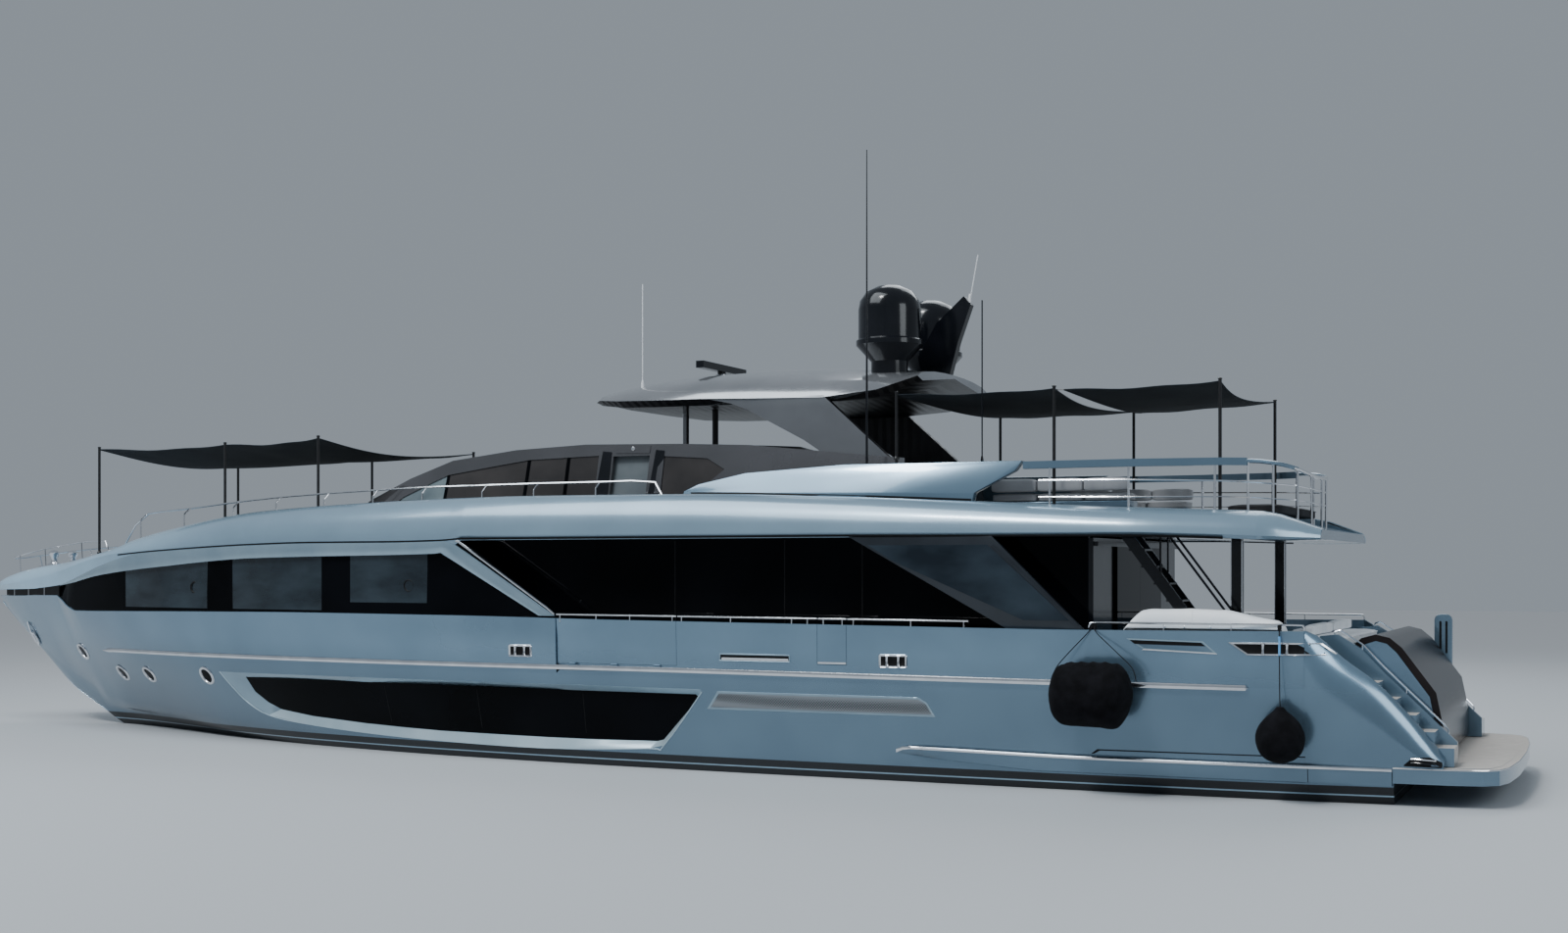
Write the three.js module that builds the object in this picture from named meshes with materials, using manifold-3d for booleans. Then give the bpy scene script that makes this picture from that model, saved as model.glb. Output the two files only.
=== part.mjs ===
// Flybridge motor yacht, 33.5 m over all.
// Frame: +X aft, -Y port, +Z up, origin on the waterline amidships. Tables are in metres and
// each finished piece is turned into millimetres.
import * as THREE from 'three';
import { mergeVertices } from 'three/addons/utils/BufferGeometryUtils.js';
import Module from 'manifold-3d';

const wasm = await Module();
wasm.setup();

// Driving dimensions, in metres
const MM = 1000;
const GAP = 0.0003;             // between pieces that rest on each other
const RUN = 0.006;              // round a piece that moves
const SIDE = 3.60;              // half of the beam at the deck
const DECK_Z = 1.66;            // main deck
const FLOOR_Z = 1.672;          // teak floor panel of the cockpit
const BOW_DECK_Z = 2.36;        // mooring deck in the bow
const SOFFIT_Z = 4.02;          // underside of the upper deck
const UPPER_Z = 4.35;           // walking surface of the upper deck
const COCKPIT_X = 13.90;        // aft edge of the cockpit floor
const TRANSOM_X = 15.10;        // aft end of the hull proper
const PLATFORM_Z = 0.58;        // top of the bathing platform
const PLATFORM_X = 16.765;      // aft end of the yacht
const COACHROOF_X = -10.80;     // step between the bow deck and the coachroof
const SALOON_X = [-1.17, 10.40];
const SALOON_Y = 2.85;
const WALL = 0.12;              // bulwark thickness
const SHAFT = { y: 1.35, x0: 8.9, z0: -0.92, x1: 12.3, z1: -1.60, r: 0.05 };
const RUDDER = { x: 13.25, y: 1.35, r: 0.06, topZ: -0.60 };
const FIN = { x: 1.0, y: 2.35, z: -0.62, r: 0.09, out: 0.55, down: 0.835 };

const PAINT = {
  blue: { color: 0x8ba3b8, roughness: 0.22, metalness: 0.55 },
  grey: { color: 0x6c6a70, roughness: 0.28, metalness: 0.6 },
  glass: { color: 0x08090b, roughness: 0.06, metalness: 0.0 },
  steel: { color: 0xc9ced3, roughness: 0.12, metalness: 1.0 },
  bronze: { color: 0xb08d57, roughness: 0.3, metalness: 1.0 },
  black: { color: 0x121316, roughness: 0.5, metalness: 0.0 },
  teak: { color: 0xb7ab9d, roughness: 0.75, metalness: 0.0 },
  cloth: { color: 0x3b3d42, roughness: 0.9, metalness: 0.0 },
  white: { color: 0xd9dbdc, roughness: 0.8, metalness: 0.0 },
  hatch: { color: 0x17100e, roughness: 0.08, metalness: 0.1 },
  bottom: { color: 0x15171a, roughness: 0.7, metalness: 0.0 },
};

const yacht = new THREE.Group();

function piece(name, geometry, finish) {
  const mesh = new THREE.Mesh(geometry.clone().scale(MM, MM, MM), new THREE.MeshStandardMaterial(PAINT[finish]));
  mesh.name = name;
  yacht.add(mesh);
  return mesh;
}

// Solids: joining and cutting
function solid(geometry) {
  const bare = geometry.clone();
  bare.deleteAttribute('normal');
  bare.deleteAttribute('uv');
  const merged = mergeVertices(bare, 1e-6);
  return new wasm.Manifold(new wasm.Mesh({
    numProp: 3,
    vertProperties: new Float32Array(merged.attributes.position.array),
    triVerts: new Uint32Array(merged.index.array),
  }));
}

function shape(manifold) {
  const mesh = manifold.getMesh();
  const geometry = new THREE.BufferGeometry();
  geometry.setAttribute('position', new THREE.BufferAttribute(mesh.vertProperties, 3));
  geometry.setIndex(new THREE.BufferAttribute(mesh.triVerts, 1));
  return geometry;
}

const join = (first, ...rest) => shape(rest.reduce((sum, g) => sum.add(solid(g)), solid(first)));
const cut = (first, ...rest) => shape(rest.reduce((sum, g) => sum.subtract(solid(g)), solid(first)));
const common = (first, second) => shape(solid(first).intersect(solid(second)));

// Basic forms
function box(x0, x1, y0, y1, z0, z1) {
  return new THREE.BoxGeometry(x1 - x0, y1 - y0, z1 - z0)
    .translate((x0 + x1) / 2, (y0 + y1) / 2, (z0 + z1) / 2);
}

function outline(points) {
  return new THREE.Shape(points.map(([u, v]) => new THREE.Vector2(u, v)));
}

const flat = (points, depth) => new THREE.ExtrudeGeometry(outline(points), { depth, bevelEnabled: false, curveSegments: 6 });
const plateXY = (points, z0, z1) => flat(points, z1 - z0).translate(0, 0, z0);
const plateXZ = (points, y0, y1) => flat(points, y1 - y0).rotateX(Math.PI / 2).translate(0, y1, 0);

function rod(a, b, radius, sides = 12, radiusB = radius) {
  const from = new THREE.Vector3(...a);
  const along = new THREE.Vector3(...b).sub(from);
  return new THREE.CylinderGeometry(radiusB, radius, along.length(), sides)
    .translate(0, along.length() / 2, 0)
    .applyQuaternion(new THREE.Quaternion().setFromUnitVectors(new THREE.Vector3(0, 1, 0), along.clone().normalize()))
    .translate(...a);
}

function pipe(points, radius, steps, sides = 8) {
  const turn = (i) => 2 * Math.PI * i / sides;
  const section = Array.from({ length: sides }, (_, i) => [radius * Math.cos(turn(i)), radius * Math.sin(turn(i))]);
  const extrudePath = new THREE.CatmullRomCurve3(points.map((p) => new THREE.Vector3(...p)), false, 'catmullrom', 0.3);
  return new THREE.ExtrudeGeometry(outline(section), { steps, bevelEnabled: false, extrudePath });
}

function turned(profile, segments, x, y, z) {
  const points = profile.map(([r, h]) => new THREE.Vector2(r, h));
  return new THREE.LatheGeometry(points, segments).rotateX(Math.PI / 2).translate(x, y, z);
}

// A body through rings of points that all have the same count; the end rings are closed flat. The
// faces of the two halves of a ring are each other's mirror image. u and v are the axes that a
// ring's flat end is seen along.
function loft(rings, [u, v] = [1, 2]) {
  const count = rings[0].length;
  const positions = rings.flat(2);
  const faces = [];
  for (let i = 0; i + 1 < rings.length; i += 1) {
    for (let j = 0; j < count; j += 1) {
      const a = i * count + j;
      const b = i * count + ((j + 1) % count);
      if (j < count / 2) faces.push(a, b, b + count, a, b + count, a + count);
      else faces.push(a, b, a + count, b, b + count, a + count);
    }
  }
  const cap = (ring, start, flip) => {
    const contour = ring.map((p) => new THREE.Vector2(p[u], p[v]));
    for (const [a, b, c] of THREE.ShapeUtils.triangulateShape(contour, [])) {
      faces.push(start + a, start + (flip ? c : b), start + (flip ? b : c));
    }
  };
  const clockwise = THREE.ShapeUtils.isClockWise(rings[0].map((p) => new THREE.Vector2(p[u], p[v])));
  cap(rings[0], 0, !clockwise);
  cap(rings[rings.length - 1], (rings.length - 1) * count, clockwise);
  const geometry = new THREE.BufferGeometry();
  geometry.setAttribute('position', new THREE.Float32BufferAttribute(positions, 3));
  geometry.setIndex(faces);
  return outward(geometry);
}

// Turns the faces of a closed body so that they point out.
function outward(geometry) {
  const p = geometry.attributes.position;
  const index = geometry.index.array;
  const [a, b, c] = [new THREE.Vector3(), new THREE.Vector3(), new THREE.Vector3()];
  let volume = 0;
  for (let i = 0; i < index.length; i += 3) {
    a.fromBufferAttribute(p, index[i]);
    b.fromBufferAttribute(p, index[i + 1]);
    c.fromBufferAttribute(p, index[i + 2]);
    volume += a.dot(b.cross(c));
  }
  if (volume < 0) {
    const turnedFaces = [];
    for (let i = 0; i < index.length; i += 3) turnedFaces.push(index[i], index[i + 2], index[i + 1]);
    geometry.setIndex(turnedFaces);
  }
  return geometry;
}

// A ring that is the same on both sides of the centre plane. half holds [y, z] from the keel up.
const bothSides = (x, half, low, high) => [
  [x, 0, low],
  ...half.map(([y, z]) => [x, y, z]),
  [x, 0, high],
  ...half.slice().reverse().map(([y, z]) => [x, -y, z]),
];

const mirrored = (geometry) => {
  const copy = geometry.index ? geometry.clone() : mergeVertices(bareOf(geometry));
  copy.scale(1, -1, 1);
  return outward(copy);
};

function bareOf(geometry) {
  const bare = geometry.clone();
  bare.deleteAttribute('normal');
  bare.deleteAttribute('uv');
  return bare;
}

// Reads a column of a table at x.
function at(table, x, column) {
  if (x <= table[0][0]) return table[0][column];
  for (let i = 1; i < table.length; i += 1) {
    const [a, b] = [table[i - 1], table[i]];
    if (x <= b[0]) return a[column] + (b[column] - a[column]) * (x - a[0]) / (b[0] - a[0]);
  }
  return table[table.length - 1][column];
}

// Hull: x, keel z, chine y and z, paint line y and z, side y and z, deck edge y and z
const HULL = [
  [-16.02, 2.330, 0.010, 2.335, 0.02, 2.340, 0.03, 2.350, 0.06, 2.36],
  [-15.60, 1.970, 0.050, 2.020, 0.10, 2.100, 0.17, 2.220, 0.30, 2.36],
  [-15.10, 1.540, 0.050, 1.600, 0.13, 1.750, 0.28, 2.020, 0.52, 2.36],
  [-14.20, 0.800, 0.060, 0.900, 0.20, 1.200, 0.50, 1.760, 0.92, 2.36],
  [-13.20, 0.260, 0.080, 0.400, 0.32, 0.800, 0.90, 1.660, 1.33, 2.36],
  [-12.82, 0.050, 0.100, 0.300, 0.36, 0.600, 1.04, 1.660, 1.47, 2.36],
  [-12.78, 0.030, 0.100, 0.300, 0.38, 0.600, 1.06, 1.640, 1.08, 1.66],
  [-12.00, -0.28, 0.250, 0.280, 0.50, 0.450, 1.36, 1.640, 1.37, 1.66],
  [-10.50, -0.72, 0.750, 0.220, 0.98, 0.400, 1.90, 1.640, 1.91, 1.66],
  [-8.00, -1.12, 1.600, 0.050, 1.85, 0.260, 2.60, 1.640, 2.61, 1.66],
  [-5.00, -1.35, 2.350, -0.12, 2.60, 0.260, 3.12, 1.640, 3.12, 1.66],
  [-1.50, -1.45, 2.900, -0.28, 3.10, 0.260, 3.46, 1.640, 3.46, 1.66],
  [2.00, -1.45, 3.120, -0.36, 3.35, 0.260, 3.58, 1.640, 3.58, 1.66],
  [6.00, -1.38, 3.200, -0.40, 3.42, 0.260, SIDE, 1.640, SIDE, 1.66],
  [10.0, -1.25, 3.200, -0.40, 3.42, 0.260, SIDE, 1.640, SIDE, 1.66],
  [12.5, -1.12, 3.160, -0.40, 3.38, 0.260, 3.52, 1.640, 3.52, 1.66],
  [13.90, -1.05, 3.120, -0.40, 3.32, 0.260, 3.44, 1.640, 3.44, 1.66],
  [13.92, -1.05, 3.120, -0.40, 3.32, 0.260, 3.34, 0.400, 3.34, 0.50],
  [15.10, -1.00, 3.000, -0.40, 3.20, 0.260, 3.22, 0.400, 3.22, 0.50],
];

function hullBody(inset = 0) {
  return loft(HULL.map(([x, keel, cy, cz, py, pz, sy, sz, dy, dz]) => bothSides(x,
    [[cy, cz], [py, pz], [sy, sz], [dy, dz]].map(([y, z]) => [y - inset, z]), keel, dz)));
}

// Bulwark: x, foot y and z, top y and z
const BULWARK = [
  [-16.44, 0.020, 2.74, 0.10, 2.86],
  [-16.02, 0.060, BOW_DECK_Z, 0.32, 2.87],
  [-15.10, 0.520, BOW_DECK_Z, 0.75, 2.88],
  [-14.20, 0.920, BOW_DECK_Z, 1.12, 2.90],
  [-13.30, 1.290, BOW_DECK_Z, 1.46, 2.91],
  [-12.82, 1.470, BOW_DECK_Z, 1.62, 2.70],
  [-12.78, 1.080, DECK_Z, 1.64, 2.68],
  [-12.40, 1.230, DECK_Z, 1.76, 2.58],
  [-10.50, 1.910, DECK_Z, 2.33, 2.60],
  [-8.00, 2.610, DECK_Z, 2.91, 2.63],
  [-5.00, 3.120, DECK_Z, 3.32, 2.65],
  [-1.50, 3.460, DECK_Z, 3.54, 2.64],
  [2.00, 3.580, DECK_Z, 3.61, 2.60],
  [6.00, SIDE, DECK_Z, 3.62, 2.57],
  [10.0, SIDE, DECK_Z, 3.62, 2.54],
  [12.5, 3.520, DECK_Z, 3.55, 2.55],
  [13.85, 3.440, DECK_Z, 3.46, 2.56],
];

const inner = (y, thickness) => Math.max(y - thickness, Math.min(y / 2, GAP * 3));

// A wall on the port side between a foot line and a top line: x, foot y and z, top y and z
function sideWall(table, thickness) {
  return loft(table.map(([x, fy, fz, ty, tz]) => [
    [x, -fy, fz], [x, -ty, tz], [x, -inner(ty, thickness), tz], [x, -inner(fy, thickness), fz],
  ]));
}

// Rub rail on the bulwark's foot: x, height of its middle
const RUB_RAIL = [[-11.30, 1.745], [-5.40, 1.750], [1.60, 1.750], [9.15, 1.715], [13.00, 1.695]];
const RUB_HALF = 0.03;
const RUB_OUT = 0.035;

function rubRail() {
  const xs = [...RUB_RAIL, ...BULWARK].map((r) => r[0]).filter((x) => x >= -11.3 && x <= 13);
  return sideWall([...new Set(xs)].sort((a, b) => a - b).map((x) => {
    const [y, z] = [at(BULWARK, x, 1) + RUB_OUT, at(RUB_RAIL, x, 1)];
    return [x, y, z - RUB_HALF, y, z + RUB_HALF];
  }), 2 * RUB_OUT);
}

// Balcony panel and boarding gate are cut out of the bulwark. The gate's free edge is bevelled, so
// that it swings inboard past the bulwark's end.
const BALCONY = { x0: 0.90, x1: 3.33, z0: 1.82 };
const GATE = { x0: 5.98, x1: 6.51, z0: 1.90, bevel: 0.16 };
const SEAM = 0.006;
const FOLD = { y: -3.606, z: 1.823, r: 0.012 };
const SWING = { x: 6.504, y: -3.464, r: 0.012 };

const balconyZone = (seam) => box(BALCONY.x0 + seam, BALCONY.x1 - seam, -4, -3, BALCONY.z0 + seam, 3);

function gateZone(seam) {
  const x = (y) => GATE.x0 + seam - GATE.bevel * (y + 3.62);
  return plateXY([[x(-4), -4], [GATE.x1 - seam, -4], [GATE.x1 - seam, -3], [x(-3), -3]], GATE.z0 + seam, 3);
}

// Hinge barrels of the balcony panel and the gate, and the brackets that they turn on
function barrels() {
  const along = [1.25, 2.1, 2.95];
  const fold = along.flatMap((x) => [
    rod([x - 0.06, FOLD.y, FOLD.z], [x + 0.06, FOLD.y, FOLD.z], FOLD.r, 12),
    box(x - 0.05, x + 0.05, FOLD.y, -3.50, FOLD.z + 0.004, FOLD.z + 0.011),
  ]);
  const seats = along.map((x) => box(x - 0.07, x + 0.07, FOLD.y - 0.02, -3.50, 1.77, FOLD.z - FOLD.r - GAP));
  const swing = [rod([SWING.x, SWING.y, 1.95], [SWING.x, SWING.y, 2.50], SWING.r, 12),
    box(SWING.x - 0.03, SWING.x, SWING.y - 0.06, SWING.y, 1.96, 2.49)];
  const post = box(SWING.x + SWING.r + GAP, SWING.x + 0.05, SWING.y - 0.05, SWING.y + 0.01, 1.95, 2.50);
  return { fold, seats, swing, post };
}

function bulwarks() {
  const table = BULWARK.map(([x, fy, fz, ty, tz]) => [x, fy, fz + GAP, ty, tz]);
  const wall = sideWall(table, WALL);
  const { fold, seats, swing, post } = barrels();
  const port = join(cut(wall, balconyZone(0), gateZone(0)), rubRail(), ...seats, post);
  piece('bulwark_port', port, 'blue');
  piece('bulwark_starboard', mirrored(port), 'blue');
  for (const [name, zone, hinge] of [['balcony', balconyZone, fold], ['gate', gateZone, swing]]) {
    const panel = join(common(wall, zone(SEAM)), ...hinge);
    piece(`${name}_port`, panel, 'blue');
    piece(`${name}_starboard`, mirrored(panel), 'blue');
  }
}

// Upper deck: x, lower edge y and z, widest y and z, crown y and z, floor z
const UPPER = [
  [-16.62, 0.02, 3.00, 0.04, 3.07, 0.03, 3.14, 3.14],
  [-16.00, 0.36, 3.02, 0.42, 3.12, 0.25, 3.30, 3.30],
  [-15.26, 0.70, 3.03, 0.75, 3.18, 0.50, 3.43, 3.43],
  [-14.32, 1.08, 3.05, 1.12, 3.24, 0.85, 3.53, 3.53],
  [-13.20, 1.48, 3.12, 1.52, 3.40, 1.20, 3.62, 3.62],
  [-12.50, 1.74, 3.20, 1.78, 3.54, 1.45, 3.69, 3.69],
  [-11.60, 2.02, 3.35, 2.06, 3.70, 1.75, 3.78, 3.78],
  [-10.80, 2.26, 3.44, 2.30, 3.80, 1.95, 3.85, 3.85],
  [-10.40, 2.36, 3.48, 2.40, 3.83, 2.00, 4.10, 3.95],
  [-9.30, 2.64, 3.57, 2.68, 3.89, 2.28, 4.28, 4.10],
  [-7.10, 3.04, 3.72, 3.08, 3.98, 2.66, 4.57, 4.30],
  [-6.40, 3.16, 3.75, 3.20, 4.00, 2.76, 4.62, UPPER_Z],
  [-4.70, 3.34, 3.78, 3.38, 4.03, 2.92, 4.70, UPPER_Z],
  [-2.90, 3.45, 3.80, 3.49, 4.03, 3.02, 4.76, UPPER_Z],
  [-1.50, 3.50, 3.82, 3.54, 4.04, 3.08, 4.79, UPPER_Z],
  [-1.18, 3.50, SOFFIT_Z, 3.55, 4.10, 3.09, 4.80, UPPER_Z],
  [0.00, 3.52, SOFFIT_Z, 3.56, 4.10, 3.10, 4.81, UPPER_Z],
  [3.30, 3.52, SOFFIT_Z, 3.56, 4.10, 3.12, 4.79, UPPER_Z],
  [6.10, 3.52, SOFFIT_Z, 3.56, 4.10, 3.12, 4.70, UPPER_Z],
  [8.70, 3.50, SOFFIT_Z, 3.54, 4.08, 3.10, 4.58, UPPER_Z],
  [11.10, 3.42, SOFFIT_Z, 3.46, 4.07, 3.00, 4.46, 4.33],
  [13.10, 3.14, 3.95, 3.18, 4.00, 2.75, 4.38, 4.28],
  [13.96, 2.60, 3.95, 2.64, 3.97, 2.40, 4.10, 4.10],
];
const CROWN = 0.14;             // width of the crown's flat top

// The upper deck's body, made bigger by grow above and below
function deckBody(grow = 0) {
  return loft(UPPER.map(([x, ly, lz, wy, wz, cy, cz, fz]) => {
    const rim = Math.max(cy - CROWN, cy * 0.6);
    const half = [[ly, lz - grow], [wy, wz], [cy, cz + grow], [rim, cz + grow], [rim - 0.004, fz + grow]];
    return bothSides(x, half, lz - grow, fz + grow);
  }));
}

// Stairs from the cockpit to the fly deck, on the port side, and the hatch above them
const STAIRS = { x0: 10.72, x1: 12.72, y0: -2.66, y1: -2.10, treads: 9 };
const PILLAR = { x: 12.58, y: 1.98, half: 0.08 };

function upperDecks() {
  const slice = (x0, x1) => common(deckBody(), box(x0, x1, -5, 5, 2, 6));
  const aft = SALOON_X[0] - 0.01;
  piece('bow_deck', slice(-17, COACHROOF_X - GAP), 'blue');
  piece('coachroof', slice(COACHROOF_X, aft - GAP), 'blue');
  const hatch = box(STAIRS.x0 - 0.10, 12.30, STAIRS.y0 - 0.04, STAIRS.y1 + 0.04, 3, 6);
  const { x, y, half } = PILLAR;
  const pillars = [-y, y].map((side) => box(x - half, x + half, side - half, side + half, DECK_Z + GAP, 4.10));
  piece('upper_deck', join(cut(slice(aft, 15), hatch), ...pillars), 'blue');
}

// Forward windows with the slanted strip behind them: x, foot y and z, head y and z
function ownersWindows() {
  const knots = [...BULWARK, ...UPPER].map((r) => r[0]).filter((x) => x > -13.1 && x < 0.9 && x !== 0);
  const xs = [...new Set([-13.10, ...knots, 0.90])].sort((a, b) => a - b);
  const head = [[-13.10, 1.46, 3.12], ...UPPER.filter((r) => r[0] > -13.1 && r[0] < -1.3).map((r) => [r[0], r[1], r[2]]),
    [-1.18, 3.50, SOFFIT_Z], [0.92, 3.56, 2.63]];
  const rows = xs.map((x) => {
    const fz = at(BULWARK, x, 4) + GAP;
    const hz = Math.max(at(head, x, 2) - 2 * GAP, fz + 0.012);
    return [x, at(BULWARK, x, 3) - 0.02, fz, at(head, x, 1) - 0.02, hz];
  });
  const wall = sideWall(rows, 0.07);
  piece('owners_window_port', wall, 'glass');
  piece('owners_window_starboard', mirrored(wall), 'glass');
}

// Saloon sides, with the return that closes the side deck forward
function saloonSides() {
  const [x0, x1] = SALOON_X;
  const top = SOFFIT_Z - GAP;
  const wall = join(
    box(x0, x1, -SALOON_Y - 0.04, -SALOON_Y + 0.04, DECK_Z + GAP, top),
    box(x0, x0 + 0.08, -3.33, -SALOON_Y, DECK_Z + GAP, top),
  );
  piece('saloon_side_port', wall, 'glass');
  piece('saloon_side_starboard', mirrored(wall), 'glass');
}

const DOOR = { half: 1.50, head: 3.80 };

function saloonAftWall() {
  const x = SALOON_X[1];
  const frame = cut(
    box(x + GAP, x + 0.08, -SALOON_Y - 0.04, SALOON_Y + 0.04, DECK_Z + GAP, 3.99),
    box(x - 1, x + 1, -DOOR.half, DOOR.half, DECK_Z - 1, DOOR.head),
  );
  const track = box(x + 0.07, x + 0.15, -2.86, 2.86, DOOR.head + 0.06, DOOR.head + 0.13);
  piece('saloon_aft_wall', join(frame, track), 'black');
  const leaf = box(x + 0.08 + RUN, x + 0.13, -1.56, -0.003, DECK_Z + GAP, DOOR.head + 0.06 - GAP);
  piece('saloon_door_port', leaf, 'glass');
  piece('saloon_door_starboard', mirrored(leaf), 'glass');
}

// Glazed fins between the upper deck and the bulwark
function sideWings() {
  const outer = [[6.50, 4.03], [8.98, 4.03], [10.54, 2.50], [9.31, 2.50]];
  const plate = plateXZ(outer, -3.54, -3.46);
  const rail = sideWall(BULWARK.map(([x, fy, fz, ty, tz]) => [x, fy, fz, ty, tz + 2 * GAP]), WALL * 1.5);
  const wing = cut(plate, deckBody(GAP), box(6, 11, -4, -3, SOFFIT_Z - GAP, 5), rail);
  piece('side_wing_port', wing, 'glass');
  piece('side_wing_starboard', mirrored(wing), 'glass');
}

// Wheelhouse: x, foot y, roof edge y and z, roof centre z
const HOUSE = [
  [-5.50, 1.55, 1.20, 4.60, 4.66],
  [-4.60, 2.00, 1.62, 4.88, 4.98],
  [-3.50, 2.25, 1.86, 5.26, 5.38],
  [-2.40, 2.38, 2.00, 5.58, 5.70],
  [-0.90, 2.45, 2.08, 5.74, 5.86],
  [0.65, 2.45, 2.12, 5.80, 5.90],
  [2.60, 2.45, 2.12, 5.76, 5.86],
  [4.00, 2.45, 2.12, 5.70, 5.80],
  [6.90, 2.45, 2.20, 5.40, 5.46],
];
const HOUSE_WALL = 0.08;

// The house's outer skin moved in by inset, with its foot let down by drop
function houseBody(inset, drop = 0) {
  const foot = UPPER_Z + GAP;
  return loft(HOUSE.map(([x, fy, ey, ez, cz], i) => {
    const end = i === 0 ? inset : (i === HOUSE.length - 1 ? -inset : 0);
    const half = [[fy - inset, foot - drop], [fy - inset, foot + 0.001], [ey - inset, ez - inset]];
    return bothSides(x + end, half, foot - drop, cz - inset);
  }));
}

const SIDE_WINDOW = [[-3.75, 4.78], [-3.55, 4.90], [-2.44, 5.30], [-0.58, 5.54], [0.95, 5.58], [0.95, 4.78]];
const AFT_WINDOW = [[2.32, 4.78], [2.32, 5.54], [3.20, 5.48], [3.57, 5.27], [2.95, 4.78]];
const WINDSCREEN = [[-5.10, -1.15], [-5.10, 1.15], [-4.40, 1.50], [-1.60, 1.85], [-1.60, -1.85], [-4.40, -1.50]];
const HOUSE_DOOR = { x0: 1.26, x1: 2.02, z1: 5.56 };
const FLY_X = 4.05;             // forward end of the fly deck
const FLY_HALF = 1.95;          // half of the fly deck's width between its screens

const shrink = (points, by) => {
  const middle = points.reduce(([u, v], [a, b]) => [u + a / points.length, v + b / points.length], [0, 0]);
  return points.map(([u, v]) => {
    const length = Math.hypot(u - middle[0], v - middle[1]);
    return [u - (u - middle[0]) * by / length, v - (v - middle[1]) * by / length];
  });
};

function wheelhouse() {
  const shell = cut(houseBody(0), houseBody(HOUSE_WALL, 1));
  const bulkhead = common(houseBody(0.02), box(FLY_X - 0.12, FLY_X, -3, 3, 4, 6));
  const doorway = box(HOUSE_DOOR.x0, HOUSE_DOOR.x1, -3, 3, 4, HOUSE_DOOR.z1);
  const house = cut(
    join(shell, bulkhead),
    plateXZ(SIDE_WINDOW, -3, 3),
    plateXZ(AFT_WINDOW, -3, 3),
    plateXY(WINDSCREEN, 4.5, 7),
    doorway,
    box(FLY_X, 7.5, -FLY_HALF, FLY_HALF, 4.4, 7),
  );
  piece('wheelhouse', house, 'grey');
  const skin = cut(houseBody(0.015), houseBody(0.05, 1));
  const windscreen = common(skin, plateXY(shrink(WINDSCREEN, 0.0006), 4.6, 7));
  piece('windscreen', windscreen, 'glass');
  const side = common(skin, plateXZ(shrink(SIDE_WINDOW, 0.0006), -3, 0));
  piece('wheelhouse_window_port', side, 'glass');
  piece('wheelhouse_window_starboard', mirrored(side), 'glass');
  const aft = common(skin, plateXZ(shrink(AFT_WINDOW, 0.0006), -3, 0));
  piece('fly_window_port', aft, 'glass');
  piece('fly_window_starboard', mirrored(aft), 'glass');
}

// Sliding doors of the wheelhouse, inside its wall
function wheelhouseDoors() {
  const { x0, x1, z1 } = HOUSE_DOOR;
  const [, foot, edge, top] = HOUSE[6];
  const lean = (foot - edge) / (top - HOUSE_WALL - UPPER_Z);
  const y = (z) => -(foot - lean * (z - UPPER_Z)) + HOUSE_WALL + 2 * RUN;
  const [low, high] = [UPPER_Z + GAP, z1 + 0.05];
  const leaf = loft([x0 - 0.04, x1 + 0.04].map((x) => [
    [x, y(low), low], [x, y(high), high], [x, y(high) + 0.04, high], [x, y(low) + 0.04, low],
  ]));
  piece('wheelhouse_door_port', leaf, 'glass');
  piece('wheelhouse_door_starboard', mirrored(leaf), 'glass');
}

// Side screens of the fly deck: upright at the foot, leaning in above the knee
function flyScreen(grow = 0) {
  const profile = [[3.10, 4.36], [3.10, 4.86], [3.37, 4.98], [4.25, 5.16], [6.10, 5.27], [9.25, 5.26],
    [9.15, 5.10], [8.90, 4.96], [8.50, 4.74], [8.40, 4.36]];
  const foot = UPPER_Z + GAP;
  const section = [[-2.95 - grow, foot], [-2.95 - grow, 4.72], [-2.69 - grow, 5.40], [-2.52 + grow, 5.40],
    [-2.76 + grow, 4.72], [-2.76 + grow, foot]];
  const length = loft([3.0, 9.4].map((x) => section.map(([y, z]) => [x, y, z])));
  return common(length, plateXZ(profile.map(([x, z]) => [x, (z === 4.36 ? foot - 0.01 : z) + grow]), -3.2, -2.3));
}

function flyCoamings() {
  const wall = flyScreen();
  piece('fly_coaming_port', wall, 'blue');
  piece('fly_coaming_starboard', mirrored(wall), 'blue');
}

// Rail of the aft fly deck: a flat cap on posts on each side, and a round rail across the stern
const RAIL_ROUTE = [[9.30, -2.80], [11.0, -2.78], [12.4, -2.55], [12.80, -2.32]];
const RAIL_LOOP = [[12.62, -2.42, 5.19], [12.95, -2.22, 5.19], [13.25, -1.95, 5.15], [13.42, -1.60, 5.10],
  [13.50, -1.10, 5.05], [13.52, 0, 5.02]];
const RAIL_POSTS = [[9.73, -2.79, 5.18], [11.02, -2.775, 5.18], [12.34, -2.56, 5.18], [12.81, -2.315, 5.18],
  [13.15, -2.04, 5.165], [13.44, -1.50, 5.09], [13.51, -0.55, 5.035]];

function flyRail() {
  const half = 0.06;
  const cap = plateXY([...RAIL_ROUTE.map(([x, y]) => [x, y - half]),
    ...RAIL_ROUTE.slice().reverse().map(([x, y]) => [x, y + half])], 5.12, 5.24);
  const across = [...RAIL_LOOP, ...RAIL_LOOP.slice(0, -1).reverse().map(([x, y, z]) => [x, -y, z])];
  const loop = pipe(across, 0.034, 40, 8);
  const deck = deckBody(GAP);
  const posts = RAIL_POSTS.flatMap(([x, y, z]) => [y, -y].map((side) => {
    return cut(rod([x, side, 4.1], [x, side, z], 0.02, 8), deck);
  }));
  piece('fly_rail', join(cap, mirrored(cap), loop, ...posts), 'blue');
}

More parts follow.
